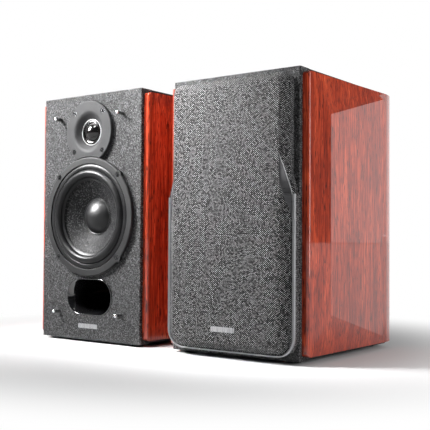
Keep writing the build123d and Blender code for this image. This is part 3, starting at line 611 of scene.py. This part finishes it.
def soft_copy(node, name, mats, width, pick, segments=3, angle=40):
    """A new mesh in the shape of a CAD node, its chosen sharp edges rounded over."""
    src = node_obj(node)
    bm = bmesh.new()
    bm.from_mesh(src.data)
    bmesh.ops.remove_doubles(bm, verts=bm.verts, dist=2e-6)
    bmesh.ops.dissolve_limit(bm, angle_limit=radians(0.6), verts=bm.verts, edges=bm.edges)
    bm.normal_update()
    es = [ed for ed in bm.edges if len(ed.link_faces) == 2 and ed.calc_face_angle(0) > radians(angle)
          and pick((ed.verts[0].co + ed.verts[1].co) / 2, ed.calc_length(), ed)]
    if es:
        bmesh.ops.bevel(bm, geom=es, offset=width, segments=segments, profile=0.5, affect="EDGES", clamp_overlap=True)
    bmesh.ops.recalc_face_normals(bm, faces=bm.faces)
    me = bpy.data.meshes.new(name)
    bm.to_mesh(me)
    bm.free()
    body = frame_body(node)
    return finish_obj(name, me, mats, body, (node,), 32, True)


def frame_body(node):
    o = node_obj(node).parent
    return o.name.replace("body:", "") if o.name.startswith("body:") else o.name


def join_parts(name, parts, mats, body, rep=(), sharp=35):
    """One mesh from several (verts, faces, material index) lists."""
    V, F, I = [], [], []
    for vs, fs, mi in parts:
        n = len(V)
        V += list(vs)
        F += [tuple(q + n for q in f) for f in fs]
        I += [mi] * len(fs)
    o = obj_from(name, V, F, mats, body, rep, sharp)
    for p, i in zip(o.data.polygons, I):
        p.material_index = i
    return o


def lathe_data(prof, cx, zc, seg=48, y0=None, flip=1):
    y0 = FY if y0 is None else y0
    V, F, rings = [], [], []
    for r_, d_ in prof:
        if r_ < 1e-6:
            rings.append([len(V)])
            V.append((cx, y0 - flip * d_ * MM, zc))
        else:
            rings.append(list(range(len(V), len(V) + seg)))
            V += [(cx + r_ * MM * cos(2 * pi * k / seg), y0 - flip * d_ * MM, zc + r_ * MM * sin(2 * pi * k / seg)) for k in range(seg)]
    for A, B in zip(rings[:-1], rings[1:]):
        for k in range(seg):
            k2 = (k + 1) % seg
            if len(A) == 1 and len(B) > 1:
                F.append((A[0], B[k], B[k2]))
            elif len(B) == 1 and len(A) > 1:
                F.append((A[k], B[0], A[k2]))
            elif len(A) > 1:
                F.append((A[k], B[k], B[k2], A[k2]))
    return V, F


# ------------------------------------------------------------------ side panels
def panel_mesh(s, cx):
    """One facetted lacquered panel, s = +1 for the right side of its cabinet."""
    gap, et, pt, rd, rear, rr = 4.0, 6.5, 11.0, 35.0, 167.0, 27.0
    pts = [(rear, 0), (gap, 0)]
    # front outer corner, 3 mm radius
    A = np.array((gap, et))
    d1, d2 = np.array((0, -1.0)), np.array((rd - gap, pt - et)) / math.hypot(rd - gap, pt - et)
    ang = math.acos(float(d1 @ d2))
    t = 3.0 / math.tan(ang / 2)
    bis = (d1 + d2) / np.linalg.norm(d1 + d2)
    c = A + bis * (3.0 / sin(ang / 2))
    p0, p1 = A + d1 * t, A + d2 * t
    t0 = math.atan2(*(p0 - c)[::-1])
    t1 = math.atan2(*(p1 - c)[::-1])
    if t1 > t0:
        t1 -= 2 * pi
    n = 14
    pts += [(c[0] + 3 * cos(t0 + (t1 - t0) * k / n), c[1] + 3 * sin(t0 + (t1 - t0) * k / n)) for k in range(n + 1)]
    pts += [(rd, pt)]
    n = 30
    pts += [(rear - rr + rr * sin(pi / 2 * k / n), pt - 6 + 6 * cos(pi / 2 * k / n)) for k in range(n + 1)]
    bm = bmesh.new()
    zb, zt = Z0 + gap * MM, Z1 - gap * MM
    lo = [bm.verts.new((cx + s * (HALF_W + q[1] * MM), FY + q[0] * MM, zb)) for q in pts]
    hi = [bm.verts.new((cx + s * (HALF_W + q[1] * MM), FY + q[0] * MM, zt)) for q in pts]
    m = len(pts)
    for k in range(m):
        bm.faces.new((lo[k], lo[(k + 1) % m], hi[(k + 1) % m], hi[k]))
    bm.faces.new(lo)
    bm.faces.new(hi)
    bmesh.ops.recalc_face_normals(bm, faces=bm.faces)
    for t_ in (-1, 1):
        co = Vector((cx + s * (HALF_W + et * MM), FY + gap * MM, zt if t_ > 0 else zb))
        no = Vector((s, -0.0276, t_ * 0.1054)).normalized()
        res = bmesh.ops.bisect_plane(bm, geom=bm.verts[:] + bm.edges[:] + bm.faces[:], dist=1e-7, plane_co=co, plane_no=no, clear_outer=True)
        cut = [g_ for g_ in res["geom_cut"] if isinstance(g_, bmesh.types.BMEdge)]
        bmesh.ops.contextual_create(bm, geom=cut)
    R = 4.2
    for t_ in (-1, 1):                  # front corners rounded as seen from the side
        cy, cz = FY + (gap + R) * MM, (zt - R * MM) if t_ > 0 else (zb + R * MM)
        for q in range(1, 8):
            th = radians(q * 90 / 8)
            no = Vector((0, -cos(th), t_ * sin(th)))
            res = bmesh.ops.bisect_plane(bm, geom=bm.verts[:] + bm.edges[:] + bm.faces[:], dist=1e-7, plane_co=Vector((cx, cy, cz)) + no * R * MM, plane_no=no, clear_outer=True)
            bmesh.ops.contextual_create(bm, geom=[g_ for g_ in res["geom_cut"] if isinstance(g_, bmesh.types.BMEdge)])
    bmesh.ops.remove_doubles(bm, verts=bm.verts, dist=4e-6)
    bmesh.ops.recalc_face_normals(bm, faces=bm.faces)
    bm.normal_update()
    ends, ridges = [], []
    for ed in bm.edges:
        if len(ed.link_faces) != 2:
            continue
        an = ed.calc_face_angle(0)
        inner = all(abs(v.co.x - (cx + s * HALF_W)) < 2e-5 for v in ed.verts)
        if an > radians(40) and not inner:
            ends.append(ed)
        elif radians(3.2) < an <= radians(40) and min(f.calc_area() for f in ed.link_faces) > 4.0e-4:
            ridges.append(ed)
    bmesh.ops.bevel(bm, geom=ends, offset=0.0009, segments=4, profile=0.5, affect="EDGES", clamp_overlap=True)
    bm.normal_update()
    ridges = [ed for ed in bm.edges if len(ed.link_faces) == 2 and radians(3.2) < ed.calc_face_angle(0) <= radians(40)
              and min(f.calc_area() for f in ed.link_faces) > 4.0e-4]
    bmesh.ops.bevel(bm, geom=ridges, offset=0.0004, segments=2, profile=0.5, affect="EDGES", clamp_overlap=True)
    bmesh.ops.recalc_face_normals(bm, faces=bm.faces)
    return bm


wood = {("left", -1): "wood_c", ("left", 1): "wood_b", ("right", -1): "wood_d", ("right", 1): "wood_a"}
for side, cx in CX.items():
    for s in (-1, 1):
        nm = f"{side}_wood_panel_{'outer' if (s > 0) == (side == 'right') else 'inner'}"
        me = bpy.data.meshes.new(nm)
        bm = panel_mesh(s, cx)
        bm.to_mesh(me)
        bm.free()
        finish_obj(nm, me, M[wood[(side, s)]], f"{side}_speaker", (f"{side}_side_panels",), 50, True)

    # ---- wrapped cabinet with eased outer edges, baffle with eased top and bottom edges
    soft_copy(f"{side}_cabinet", f"{side}_cabinet_wrap", M["cabinet"], 0.0009,
              lambda c, L, ed, cx=cx: L > 0.08 and (abs(abs(c.x - cx) - HALF_W) < 1e-4 or abs(c.z - Z0) < 1e-4 or abs(c.z - Z1) < 1e-4 or abs(c.y - BACK) < 1e-4)
              and c.y > FY + 0.0152)
    soft_copy(f"{side}_baffle", f"{side}_baffle_wrap", M["baffle"], 0.0008,
              lambda c, L, ed: L > 0.06 and c.y < FY + 0.0008 and (abs(c.z - Z0) < 1e-4 or abs(c.z - Z1) < 1e-4))

    # ---- moulded and metal nodes that keep their CAD shape
    for node, m in (("feet", "foot"), ("tweeter_motor", "steel"), ("driver_screws", "screw"),
                    ("woofer_basket", "basket"), ("woofer_voice_coil", "copper"), ("woofer_magnet", "ferrite"),
                    ("woofer_pole_plates", "steel"), ("crossover", "board"), ("binding_posts", "brass"),
                    ("red_washer", "brass"), ("black_washer", "brass"), ("red_knob", "knob_red"), ("black_knob", "knob_black")):
        paint(f"{side}_{node}", M[m])

    soft_copy(f"{side}_woofer_trim_ring", f"{side}_trim_ring_moulded", M["ring"], 0.00045, lambda c, L, ed: c.y < FY - 0.0004, 3, 38)
    soft_copy(f"{side}_tweeter_faceplate", f"{side}_faceplate_moulded", M["driver"], 0.00045, lambda c, L, ed: c.y < FY - 0.0004, 3, 38)

    # ---- grille pins: turned, grooved body and a polished domed tip
    parts = []
    for sx in (-1, 1):
        for pz in (27.7, 230.9):
            px, pzz = cx + sx * 44.4 * MM, Z0 + pz * MM
            body = fillet2d([(0, -9.5), (1.9, -9.5), (1.9, 1.2), (1.9, 3.0), (1.55, 3.25), (1.55, 3.9), (1.9, 4.15), (1.9, 6.2), (1.6, 6.4), (1.6, 6.9), (1.88, 7.1)], 0.12, 2, False)
            parts.append((*lathe_data(body, px, pzz, 40), 0))
            tip = [(1.88, 7.1), (1.88, 8.2)] + [(1.88 * cos(t), 8.2 + 1.3 * sin(t)) for t in np.linspace(0.15, pi / 2 - 0.08, 7)] + [(0, 9.5)]
            parts.append((*lathe_data(tip, px, pzz, 40), 1))
    join_parts(f"{side}_pins_turned", parts, [M["pin_dark"], M["pin"]], f"{side}_speaker", (f"{side}_grille_pins",))

    # ---- flared port: racetrack rings from a rolled lip down to the tube
    def track(w, h, n=28):
        rad, hx = h / 2, (w - h) / 2
        p = [(hx + rad * cos(t), rad * sin(t)) for t in np.linspace(-pi / 2, pi / 2, n)]
        return p + [(-hx + rad * cos(t), rad * sin(t)) for t in np.linspace(pi / 2, 3 * pi / 2, n)]
    lip = [(57.0, 36.2, -75.0), (57.0, 36.2, -2.85), (65.0, 38.0, -2.9), (65.0, 38.0, 0.0), (64.8, 37.85, 0.32), (64.4, 37.6, 0.58), (63.8, 37.2, 0.75), (63.1, 36.8, 0.80), (62.4, 36.4, 0.75)]
    flare = spline([(61.8, 36.05, 0.60), (60.6, 35.4, 0.10), (58.4, 34.2, -0.9), (54.9, 32.4, -3.4), (52.3, 30.9, -6.8), (50.8, 30.0, -11.5)], 5)
    tube = [(50.8, 30.0, -16), (50.8, 30.0, -45), (50.8, 30.0, -75.0)]
    V, F = [], []
    levels = lip + [tuple(q) for q in flare] + tube
    ringn = 56
    for w, h, d in levels:
        for px_, pz_ in track(w, h):
            V.append((cx + px_ * MM, FY - d * MM, PZ + pz_ * MM))
    L = len(levels)
    for i in range(L):
        j = (i + 1) % L
        for k in range(ringn):
            k2 = (k + 1) % ringn
            F.append((i * ringn + k, j * ringn + k, j * ringn + k2, i * ringn + k2))
    obj_from(f"{side}_port_flare", V, F, M["port"], f"{side}_speaker", (f"{side}_port_tube",), 40)

    # ---- woofer: surround, cone, dust cap, spider
    spk, dia = f"{side}_speaker", f"{side}_woofer_diaphragm"
    roll_out = arc3((49.0, 2.6), (44.6, 6.0), (40.3, 1.9), 26)
    roll_in = arc3((40.6, 1.25), (44.6, 5.35), (48.5, 1.6), 22)
    prof = [(53.9, 1.6), (53.9, 3.2), (53.6, 3.45), (50.0, 3.5), (49.4, 3.3)] + roll_out + [(39.6, 1.5), (38.6, 1.12), (37.7, 0.75), (37.5, 0.55), (37.9, 0.30), (39.4, 0.85)] + roll_in + [(49.6, 1.55)]
    sur = lathe(f"{side}_surround_roll", prof, cx, WZ, M["surround"], None, (f"{side}_woofer_surround",), 192, True, 50)

    def radial_blend(o):
        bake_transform(o)

    radial_blend(sur)
    face = spline([(39.3, 0.62), (37.9, -0.25), (34.0, -2.35), (28.0, -5.35), (22.5, -8.6), (18.0, -11.0), (14.8, -13.2), (12.95, -14.55)], 6)
    back = spline([(12.95, -15.8), (14.8, -14.2), (18.0, -12.2), (22.5, -9.8), (28.0, -6.5), (34.0, -3.4), (37.9, -1.2), (39.3, -0.3)], 6)
    lathe(f"{side}_cone_pressed", face + back, cx, WZ, M["cone"], dia, (f"{side}_woofer_cone",), 192, True, 50)
    capf = arc3((-17.4, -10.15), (0, -2.45), (17.4, -10.15), 40)[20:]
    capb = arc3((-16.9, -10.7), (0, -3.1), (16.9, -10.7), 40)[20:]
    rim = fillet2d([(17.4, -10.15), (17.75, -9.98), (18.5, -9.95), (18.55, -10.5), (17.1, -10.85), (16.9, -10.7)], 0.12, 3, False)
    prof = [(max(0, q[0]) if i else 0, q[1]) for i, q in enumerate(capf)] + rim[1:-1] + [(q[0] if i < 20 else 0, q[1]) for i, q in enumerate(capb[::-1])]
    lathe(f"{side}_cap_domed", prof, cx, WZ, M["cap"], dia, (f"{side}_woofer_dust_cap",), 160, False, 60)
    # glue fillet round the cap and the line of adhesive where the surround laps the cone
    bead = [(18.9 + 0.34 * cos(t), -10.02 + 0.26 * sin(t)) for t in np.linspace(0, 2 * pi, 11)[:-1]]
    lathe(f"{side}_cap_glue_line", bead, cx, WZ, M["surround"], dia, (), 160, True, 80)
    bead = [(38.05 + 0.42 * cos(t), 0.72 + 0.24 * sin(t)) for t in np.linspace(0, 2 * pi, 11)[:-1]]
    lathe(f"{side}_cone_edge_bead", bead, cx, WZ, M["surround"], dia, (), 192, True, 80)
    rs = np.linspace(12.9, 31.5, 96)
    top = [(q, -19.0 + 0.85 * sin((q - 12.9) / 4.4 * 2 * pi)) for q in rs] + [(33.5, -19.0), (36.7, -19.0), (36.7, -19.45), (33.5, -19.45)]
    low = [(q, z_ - 0.45) for q, z_ in top[:96]][::-1]
    spd = lathe(f"{side}_spider_waves", top + low, cx, WZ, M["spider"], None, (f"{side}_woofer_spider",), 120, True, 50)
    radial_blend(spd)

    # ---- tweeter dome and the bright ring at the foot of the bowl
    td = f"{side}_tweeter_diaphragm"
    dome = arc3((-9.5, -1.5), (0, 3.2), (9.5, -1.5), 40)[20:]
    roll = arc3((9.5, -1.5), (11.0, -0.6), (12.5, -1.5), 12)[1:]
    inner = [(12.5, -1.85), (12.1, -1.85)] + arc3((12.1, -1.85), (11.0, -1.05), (9.9, -1.85), 10)[1:] + [(9.9, -8.4), (9.5, -8.4), (9.5, -2.4)]
    under = arc3((-9.5, -2.35), (0, 2.6), (9.5, -2.35), 40)[20:][::-1]
    prof = [(0 if i == 0 else q[0], q[1]) for i, q in enumerate(dome)] + roll + inner + [(q[0], q[1]) for q in under[1:-1]] + [(0, 2.6)]
    lathe(f"{side}_dome_film", prof, cx, TZ, M["dome"], td, (f"{side}_tweeter_dome",), 128, False, 40)
    line = fillet2d([(13.05, -1.15), (13.75, -1.15), (13.75, -0.72), (13.05, -0.72)], 0.16, 3, True)
    lathe(f"{side}_dome_bright_line", line, cx, TZ, M["line"], spk, (), 128, True, 60)

    # ---- terminal cup and bracket with eased edges
    soft_copy(f"{side}_terminal_cup", f"{side}_cup_moulded", M["cup"], 0.0005, lambda c, L, ed: c.y > BACK + 0.0015 and L > 0.0012, 3, 50)
    soft_copy(f"{side}_wall_bracket", f"{side}_bracket_plate", M["bracket"], 0.00025, lambda c, L, ed: c.y > BACK + 0.0015, 2, 50)

    # ---- blank name plate on the baffle, where the makers put theirs
    def plate(name, cx_, zc_, w, h, t, d0, m, body_, rep_=(), rad=1.0, bev=0.25):
        pts_ = []
        for qx, qz, a0 in ((1, 1, 0), (-1, 1, 90), (-1, -1, 180), (1, -1, 270)):
            for k in range(7):
                t_ = radians(a0 + 15 * k)
                pts_.append((qx * (w / 2 - rad) + rad * cos(t_), qz * (h / 2 - rad) + rad * sin(t_)))
        lv = [(0.0, 0.0), (0.0, t - bev), (bev * 0.3, t - bev * 0.3), (bev, t), (bev + 0.45, t), (bev + 0.6, t - 0.08), (bev + 0.75, t - 0.08)]
        V_, F_ = [], []
        for ins, dd in lv:
            for x_, z_ in pts_:
                sx_ = (abs(x_) - ins) / abs(x_) if abs(x_) > 1e-6 else 1
                sz_ = (abs(z_) - ins) / abs(z_) if abs(z_) > 1e-6 else 1
                V_.append((cx_ + x_ * sx_ * MM, FY - (d0 + dd) * MM, zc_ + z_ * sz_ * MM))
        K = len(pts_)
        for i in range(len(lv) - 1):
            for k in range(K):
                k2 = (k + 1) % K
                F_.append((i * K + k, (i + 1) * K + k, (i + 1) * K + k2, i * K + k2))
        F_.append(tuple((len(lv) - 1) * K + k for k in range(K)))
        F_.append(tuple(range(K)))
        return obj_from(name, V_, F_, m, body_, rep_, 40)
    plate(f"{side}_baffle_name_plate", cx - 1.9 * MM, Z0 + 14.0 * MM, 27.0, 4.6, 0.45, 0.0, M["badge"], spk, (), 0.8, 0.16)

    # ---- rear screws: pan heads with a crossed recess
    tz = Z0 + 0.062
    sites = [(dx, Z1 - 0.034, 1.6) for dx in (-17, 17)] + [(dx * 37.5, tz + dz * 0.0255, 2.0) for dx in (-1, 1) for dz in (-1, 1)]
    V, F = [], []
    for sx_, sz_, t_ in sites:
        # grid over the head: a dome with a cross sunk into it
        N = 20
        base_i = len(V)
        for i in range(N + 1):
            for j in range(N + 1):
                u, v = 2 * i / N - 1, 2 * j / N - 1
                # square to disc
                x_, z_ = u * math.sqrt(1 - v * v / 2), v * math.sqrt(1 - u * u / 2)
                rr = math.hypot(x_, z_)
                hgt = 1.2 * math.sqrt(max(0.0, 1 - (rr * 0.93) ** 2.4))
                cross = min(abs(x_), abs(z_)) < 0.13 and max(abs(x_), abs(z_)) < 0.55
                if cross:
                    hgt -= 0.75 * (1 - max(abs(x_), abs(z_)) / 0.62)
                if i in (0, N) or j in (0, N):
                    hgt = 0.0
                V.append((cx + (sx_ + 2.88 * x_) * MM, BACK + (t_ + hgt) * MM, sz_ + 2.88 * z_ * MM))
        for i in range(N):
            for j in range(N):
                p_ = base_i + i * (N + 1) + j
                F.append((p_, p_ + 1, p_ + N + 2, p_ + N + 1))
    o = obj_from(f"{side}_rear_screw_heads", V, F, M["screw"], spk, (), 38)
    paint(f"{side}_rear_screws", M["screw"])
    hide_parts(f"{side}_rear_screws")

# ------------------------------------------------------------------ the right speaker's grille
GX = CX["right"]
paint("right_grille_frame", M["frame"])


def outline(low, upx, bottom, top, r_low, r_up, s0=143.5, s1=160.0, n_side=30, n_arc=9, n_flat=20):
    """Right half of one level's outline from the bottom centre to the top centre, in mm about the grille's centre line."""
    p = [(x, bottom) for x in np.linspace(0, low - r_low, n_flat, endpoint=False)]
    p += [(low - r_low + r_low * sin(t), bottom + r_low - r_low * cos(t)) for t in np.linspace(0, pi / 2, n_arc)]
    p += [(low, z_) for z_ in np.linspace(bottom + r_low, s0, n_side)[1:]]
    p += [(low + (upx - low) * t, s0 + (s1 - s0) * t) for t in np.linspace(0, 1, 8)[1:]]
    p += [(upx, z_) for z_ in np.linspace(s1, top - r_up, n_side)[1:]]
    p += [(upx - r_up + r_up * cos(t), top - r_up + r_up * sin(t)) for t in np.linspace(0, pi / 2, n_arc)[1:]]
    p += [(x, top) for x in np.linspace(upx - r_up, 0, n_flat)[1:]]
    return p


def full(level):
    return level + [(-x, z_) for x, z_ in level[::-1][1:-1]]


foot = np.array(full(outline(69.4, 64.3, 3.5, 248.5, 17.5, 9.0)))
foot_bev = np.array(full(outline(67.0, 64.3, 5.1, 248.5, 16.0, 9.0)))
plat = np.array(full(outline(57.82, 57.8, 12.0, 242.3, 9.0, 3.5)))
plat_in = np.array(full(outline(55.2, 55.2, 14.6, 239.7, 7.6, 2.6)))
K = len(foot)
cen = np.array((0.0, 128.0))
rings = []          # (points mm, depth mm)
tuck = foot * np.array((1, 1)) - 0.0
rings.append((foot, 1.0))
rings.append((foot, 3.0))
rings.append((foot, 5.4))
rings.append((foot, 6.5))
q1 = foot * 0.86 + foot_bev * 0.14
rings.append((q1, 7.05))
rings.append((foot_bev * 0.75 + foot * 0.25, 7.28))
bev = lambda t: foot_bev * (1 - t) + plat * t
for t in (0.08, 0.25, 0.45, 0.62, 0.75):
    rings.append((bev(t), 7.0 + 8.2 * t + (0.14 if t < 0.1 else 0.0)))
A_, B_, C_ = bev(0.80), plat, plat_in
for t in (0.0, 0.18, 0.36, 0.54, 0.72, 0.88, 1.0):
    pt = A_ * (1 - t) ** 2 + B_ * 2 * t * (1 - t) + C_ * t * t
    dd = (7.0 + 8.2 * 0.80) * (1 - t) ** 2 + 15.2 * 2 * t * (1 - t) + 15.2 * t * t
    rings.append((pt, dd - 0.0))
for f in (0.86, 0.68, 0.46, 0.24, 0.08):
    rings.append(((plat_in - cen) * f + cen, 15.2))
V, F = [], []
for pt, dd in rings:
    V += [(GX + x * MM, FY - dd * MM, Z0 + z_ * MM) for x, z_ in pt]
for i in range(len(rings) - 1):
    for k in range(K):
        k2 = (k + 1) % K
        F.append((i * K + k, i * K + k2, (i + 1) * K + k2, (i + 1) * K + k))
F.append(tuple((len(rings) - 1) * K + k for k in range(K)))
cloth = obj_from("right_grille_cloth_stretched", V, F, M["cloth"], None, ("right_grille_cloth",), 0)
# UVs in metres: the flat cut, unrolled outwards from the plateau ring by ring
me = cloth.data
uvp = np.zeros((len(V), 2))
n_r = len(rings)
i0 = next(i for i, (p_, d_) in enumerate(rings) if abs(d_ - 15.2) < 1e-6 and np.allclose(p_, plat_in))
for i in range(i0, n_r):
    uvp[i * K:(i + 1) * K] = rings[i][0]
for i in range(i0 - 1, -1, -1):
    step = rings[i][0] - rings[i + 1][0]
    plan = np.linalg.norm(step, axis=1)
    dep = abs(rings[i][1] - rings[i + 1][1])
    nrm = foot - plat_in
    nrm = nrm / np.linalg.norm(nrm, axis=1)[:, None]
    uvp[i * K:(i + 1) * K] = uvp[(i + 1) * K:(i + 2) * K] + nrm * np.hypot(plan, dep)[:, None]
uvl = me.uv_layers.new(name="UVMap")
for lp in me.loops:
    q = uvp[lp.vertex_index] * MM
    uvl.data[lp.index].uv = (q[0], q[1])
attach(cloth, "right_grille")

# ---- trim strip: a bright moulded line, wide up the sides and thin along the bottom
o_out = outline(69.5, 64.4, 3.5, 248.5, 17.5, 9.0)
o_in = outline(66.6, 64.3, 5.0, 258.5, 15.6, 9.0, 143.5)
idx = [i for i, q in enumerate(o_out) if q[1] <= 143.6]
po = [(-o_out[i][0], o_out[i][1]) for i in idx[::-1][:-1]] + [o_out[i] for i in idx]
pi_ = [(-o_in[i][0], o_in[i][1]) for i in idx[::-1][:-1]] + [o_in[i] for i in idx]
sec = [(0.0, 6.2), (0.0, 7.7), (0.10, 8.05), (0.25, 8.24), (0.42, 8.3), (0.72, 8.3), (0.88, 8.22), (1.0, 8.0), (1.0, 6.2)]
V, F = [], []
for (xo, zo), (xi, zi) in zip(po, pi_):
    for u, dd in sec:
        V.append((GX + (xo * (1 - u) + xi * u) * MM, FY - dd * MM, Z0 + (zo * (1 - u) + zi * u) * MM))
S = len(sec)
for i in range(len(po) - 1):
    for k in range(S):
        k2 = (k + 1) % S
        F.append((i * S + k, (i + 1) * S + k, (i + 1) * S + k2, i * S + k2))
F.append(tuple(range(S)))
F.append(tuple((len(po) - 1) * S + k for k in range(S)))
strip = obj_from("right_grille_trim_strip", V, F, M["trim"], "right_grille", ("right_grille_trim",), 55)

# ---- blades: smooth facets that run up from the strip on to the side bevels, the silver trim's ends in a darker copy of its metal (painted shade), their raised rims in the trim metal itself
in_pts = np.array([(67.0, 118.0), (66.4, 122.0), (65.1, 128.7), (63.6, 133.4), (61.6, 138.0), (60.3, 143.1), (59.3, 146.5), (58.2, 150.7), (57.6, 155.0), (57.6, 178.6)])
out_pts = np.array([(67.0, 118.0), (67.0, 143.0), (65.4, 149.5), (62.9, 157.8), (60.6, 167.8), (57.6, 178.6)])


def bevel_depth(x, z_):
    fx = 67.0 if z_ <= 143.5 else (64.3 if z_ >= 160 else 67.0 - 2.7 * (z_ - 143.5) / 16.5)
    t = max(0.0, min(1.0, (fx - x) / (fx - 57.8)))
    d_ = 7.0 + 8.2 * t
    if t > 0.80:                       # follows the rounded crease
        u = (t - 0.80) / 0.20
        d_ -= 0.35 * u * u
    return d_


for s, nm in ((1, "right"), (-1, "left")):
    zs = np.linspace(118.4, 178.2, 72)
    V, F = [], []
    us = np.array([0.0, 0.06, 0.16, 0.3, 0.45, 0.6, 0.74, 0.84, 0.885, 0.92, 0.96, 1.0])
    for z_ in zs:
        xi = float(np.interp(z_, in_pts[:, 1], in_pts[:, 0]))
        xo = float(np.interp(z_, out_pts[:, 1], out_pts[:, 0]))
        wdt = max(xo - xi, 0.25)
        for u in us:
            x_ = xi + wdt * u
            rise = 0.28 + 0.10 * sin(pi * min(u, 0.85) / 0.85)
            rim_w = min(0.6 / wdt, 0.5)
            if u > 1 - rim_w:
                rise += 0.35 * sin(pi * min(1.0, (u - (1 - rim_w)) / rim_w) * 0.75)
            if u in (0.0,):
                rise = -0.15
            V.append((GX + s * x_ * MM, FY - (bevel_depth(x_, z_) + rise) * MM, Z0 + z_ * MM))
        V.append((GX + s * (xi + wdt) * MM, FY - (bevel_depth(xi + wdt, z_) - 0.3) * MM, Z0 + z_ * MM))
    S = len(us) + 1
    for i in range(len(zs) - 1):
        for k in range(S - 1):
            F.append((i * S + k, (i + 1) * S + k, (i + 1) * S + k + 1, i * S + k + 1))
    bl = obj_from(f"right_grille_blade_{nm}", V, F, [M["blade"], M["trim"]], "right_grille", (), 60)
    for i in range(len(zs) - 1):
        for k in range(S - 1):
            if k >= S - 5:
                bl.data.polygons[i * (S - 1) + k].material_index = 1

# ---- blank badge: bevelled plate with a sunk field
_lo, _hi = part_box("right_grille_badge")
plate("right_grille_badge_blank", (_lo.x + _hi.x) / 2, (_lo.z + _hi.z) / 2, 26.0, 4.6, 0.8, 15.2, M["badge"], "right_grille", ("right_grille_badge",), 0.8, 0.2)

# ------------------------------------------------------------------ floor
fm = bpy.data.materials.new("floor_pale")
fm.use_nodes = True
ft = fm.node_tree
fb = ft.nodes["Principled BSDF"]
fb.inputs["Base Color"].default_value = (0.66, 0.66, 0.665, 1)
fb.inputs["Roughness"].default_value = 0.7
fb.inputs["Specular IOR Level"].default_value = 0.2
tc = ft.nodes.new("ShaderNodeTexCoord")
ln = ft.nodes.new("ShaderNodeVectorMath")
ln.operation = "LENGTH"
ft.links.new(tc.outputs["Object"], ln.inputs[0])
mr = ft.nodes.new("ShaderNodeMapRange")
mr.interpolation_type = "SMOOTHSTEP"
mr.inputs[1].default_value = 0.15
mr.inputs[2].default_value = 0.40
mr.inputs[3].default_value = 0.0
mr.inputs[4].default_value = 1.0
ft.links.new(ln.outputs["Value"], mr.inputs[0])
em = ft.nodes.new("ShaderNodeEmission")
em.inputs[0].default_value = (1, 1, 1, 1)
em.inputs[1].default_value = 1.0
mx = ft.nodes.new("ShaderNodeMixShader")
ft.links.new(mr.outputs[0], mx.inputs[0])
ft.links.new(fb.outputs[0], mx.inputs[1])
ft.links.new(em.outputs[0], mx.inputs[2])
ft.links.new(mx.outputs[0], ft.nodes["Material Output"].inputs[0])
bm = bmesh.new()
bmesh.ops.create_circle(bm, cap_ends=True, segments=96, radius=30.0)
me = bpy.data.meshes.new("floor")
bm.to_mesh(me)
bm.free()
me.materials.append(fm)
floor = bpy.data.objects.new("floor", me)
sc.collection.objects.link(floor)

# ------------------------------------------------------------------ world and lights
w = bpy.data.worlds.new("studio")
sc.world = w
w.use_nodes = True
wt = w.node_tree
for n_ in list(wt.nodes):
    wt.nodes.remove(n_)
wo = wt.nodes.new("ShaderNodeOutputWorld")
b1 = wt.nodes.new("ShaderNodeBackground")
b1.inputs[0].default_value = (1, 1, 1, 1)
b1.inputs[1].default_value = 1.0
b2 = wt.nodes.new("ShaderNodeBackground")
lp = wt.nodes.new("ShaderNodeLightPath")
mxw = wt.nodes.new("ShaderNodeMixShader")
tg = wt.nodes.new("ShaderNodeTexCoord")
sx_ = wt.nodes.new("ShaderNodeSeparateXYZ")
wt.links.new(tg.outputs["Generated"], sx_.inputs[0])
cr = wt.nodes.new("ShaderNodeValToRGB")
cr.color_ramp.elements[0].position = 0.0
cr.color_ramp.elements[0].color = (0.20, 0.20, 0.205, 1)
cr.color_ramp.elements[1].position = 0.8
cr.color_ramp.elements[1].color = (0.10, 0.10, 0.105, 1)
wt.links.new(sx_.outputs[2], cr.inputs[0])
wt.links.new(cr.outputs[0], b2.inputs[0])
b2.inputs[1].default_value = 0.16
wt.links.new(lp.outputs["Is Camera Ray"], mxw.inputs[0])
wt.links.new(b2.outputs[0], mxw.inputs[1])
wt.links.new(b1.outputs[0], mxw.inputs[2])
wt.links.new(mxw.outputs[0], wo.inputs[0])


def area(name, loc, aim, w_, h_, power, spread=180, colour=(1, 1, 1)):
    d = bpy.data.lights.new(name, "AREA")
    d.shape = "RECTANGLE"
    d.size, d.size_y = w_, h_
    d.energy = power
    d.spread = radians(spread)
    d.color = colour
    o = bpy.data.objects.new(name, d)
    o.location = loc
    o.rotation_euler = (Vector(aim) - Vector(loc)).to_track_quat("-Z", "Y").to_euler()
    o.visible_camera = False
    sc.collection.objects.link(o)
    return o


area("key_left", (-0.41, -0.38, 0.49), (-0.17, -0.08, 0.25), 0.20, 0.24, 3.0, 66)
area("key_middle", (-0.04, -0.19, 0.42), (0.035, -0.09, 0.24), 0.10, 0.10, 0.42, 60)
area("right_soft", (1.45, 0.0, 0.45), (0.17, 0.05, 0.13), 0.5, 0.9, 12.5)
area("right_top", (0.65, 0.30, 1.25), (0.17, 0.0, 0.13), 0.8, 0.8, 2.2)
area("back_wall", (0.65, 1.7, 0.40), (0.65, 0.0, 0.40), 1.9, 0.603, 4.2)
area("top", (0.0, 0.1, 1.6), (0.0, 0.0, 0.0), 1.2, 1.2, 1.0)
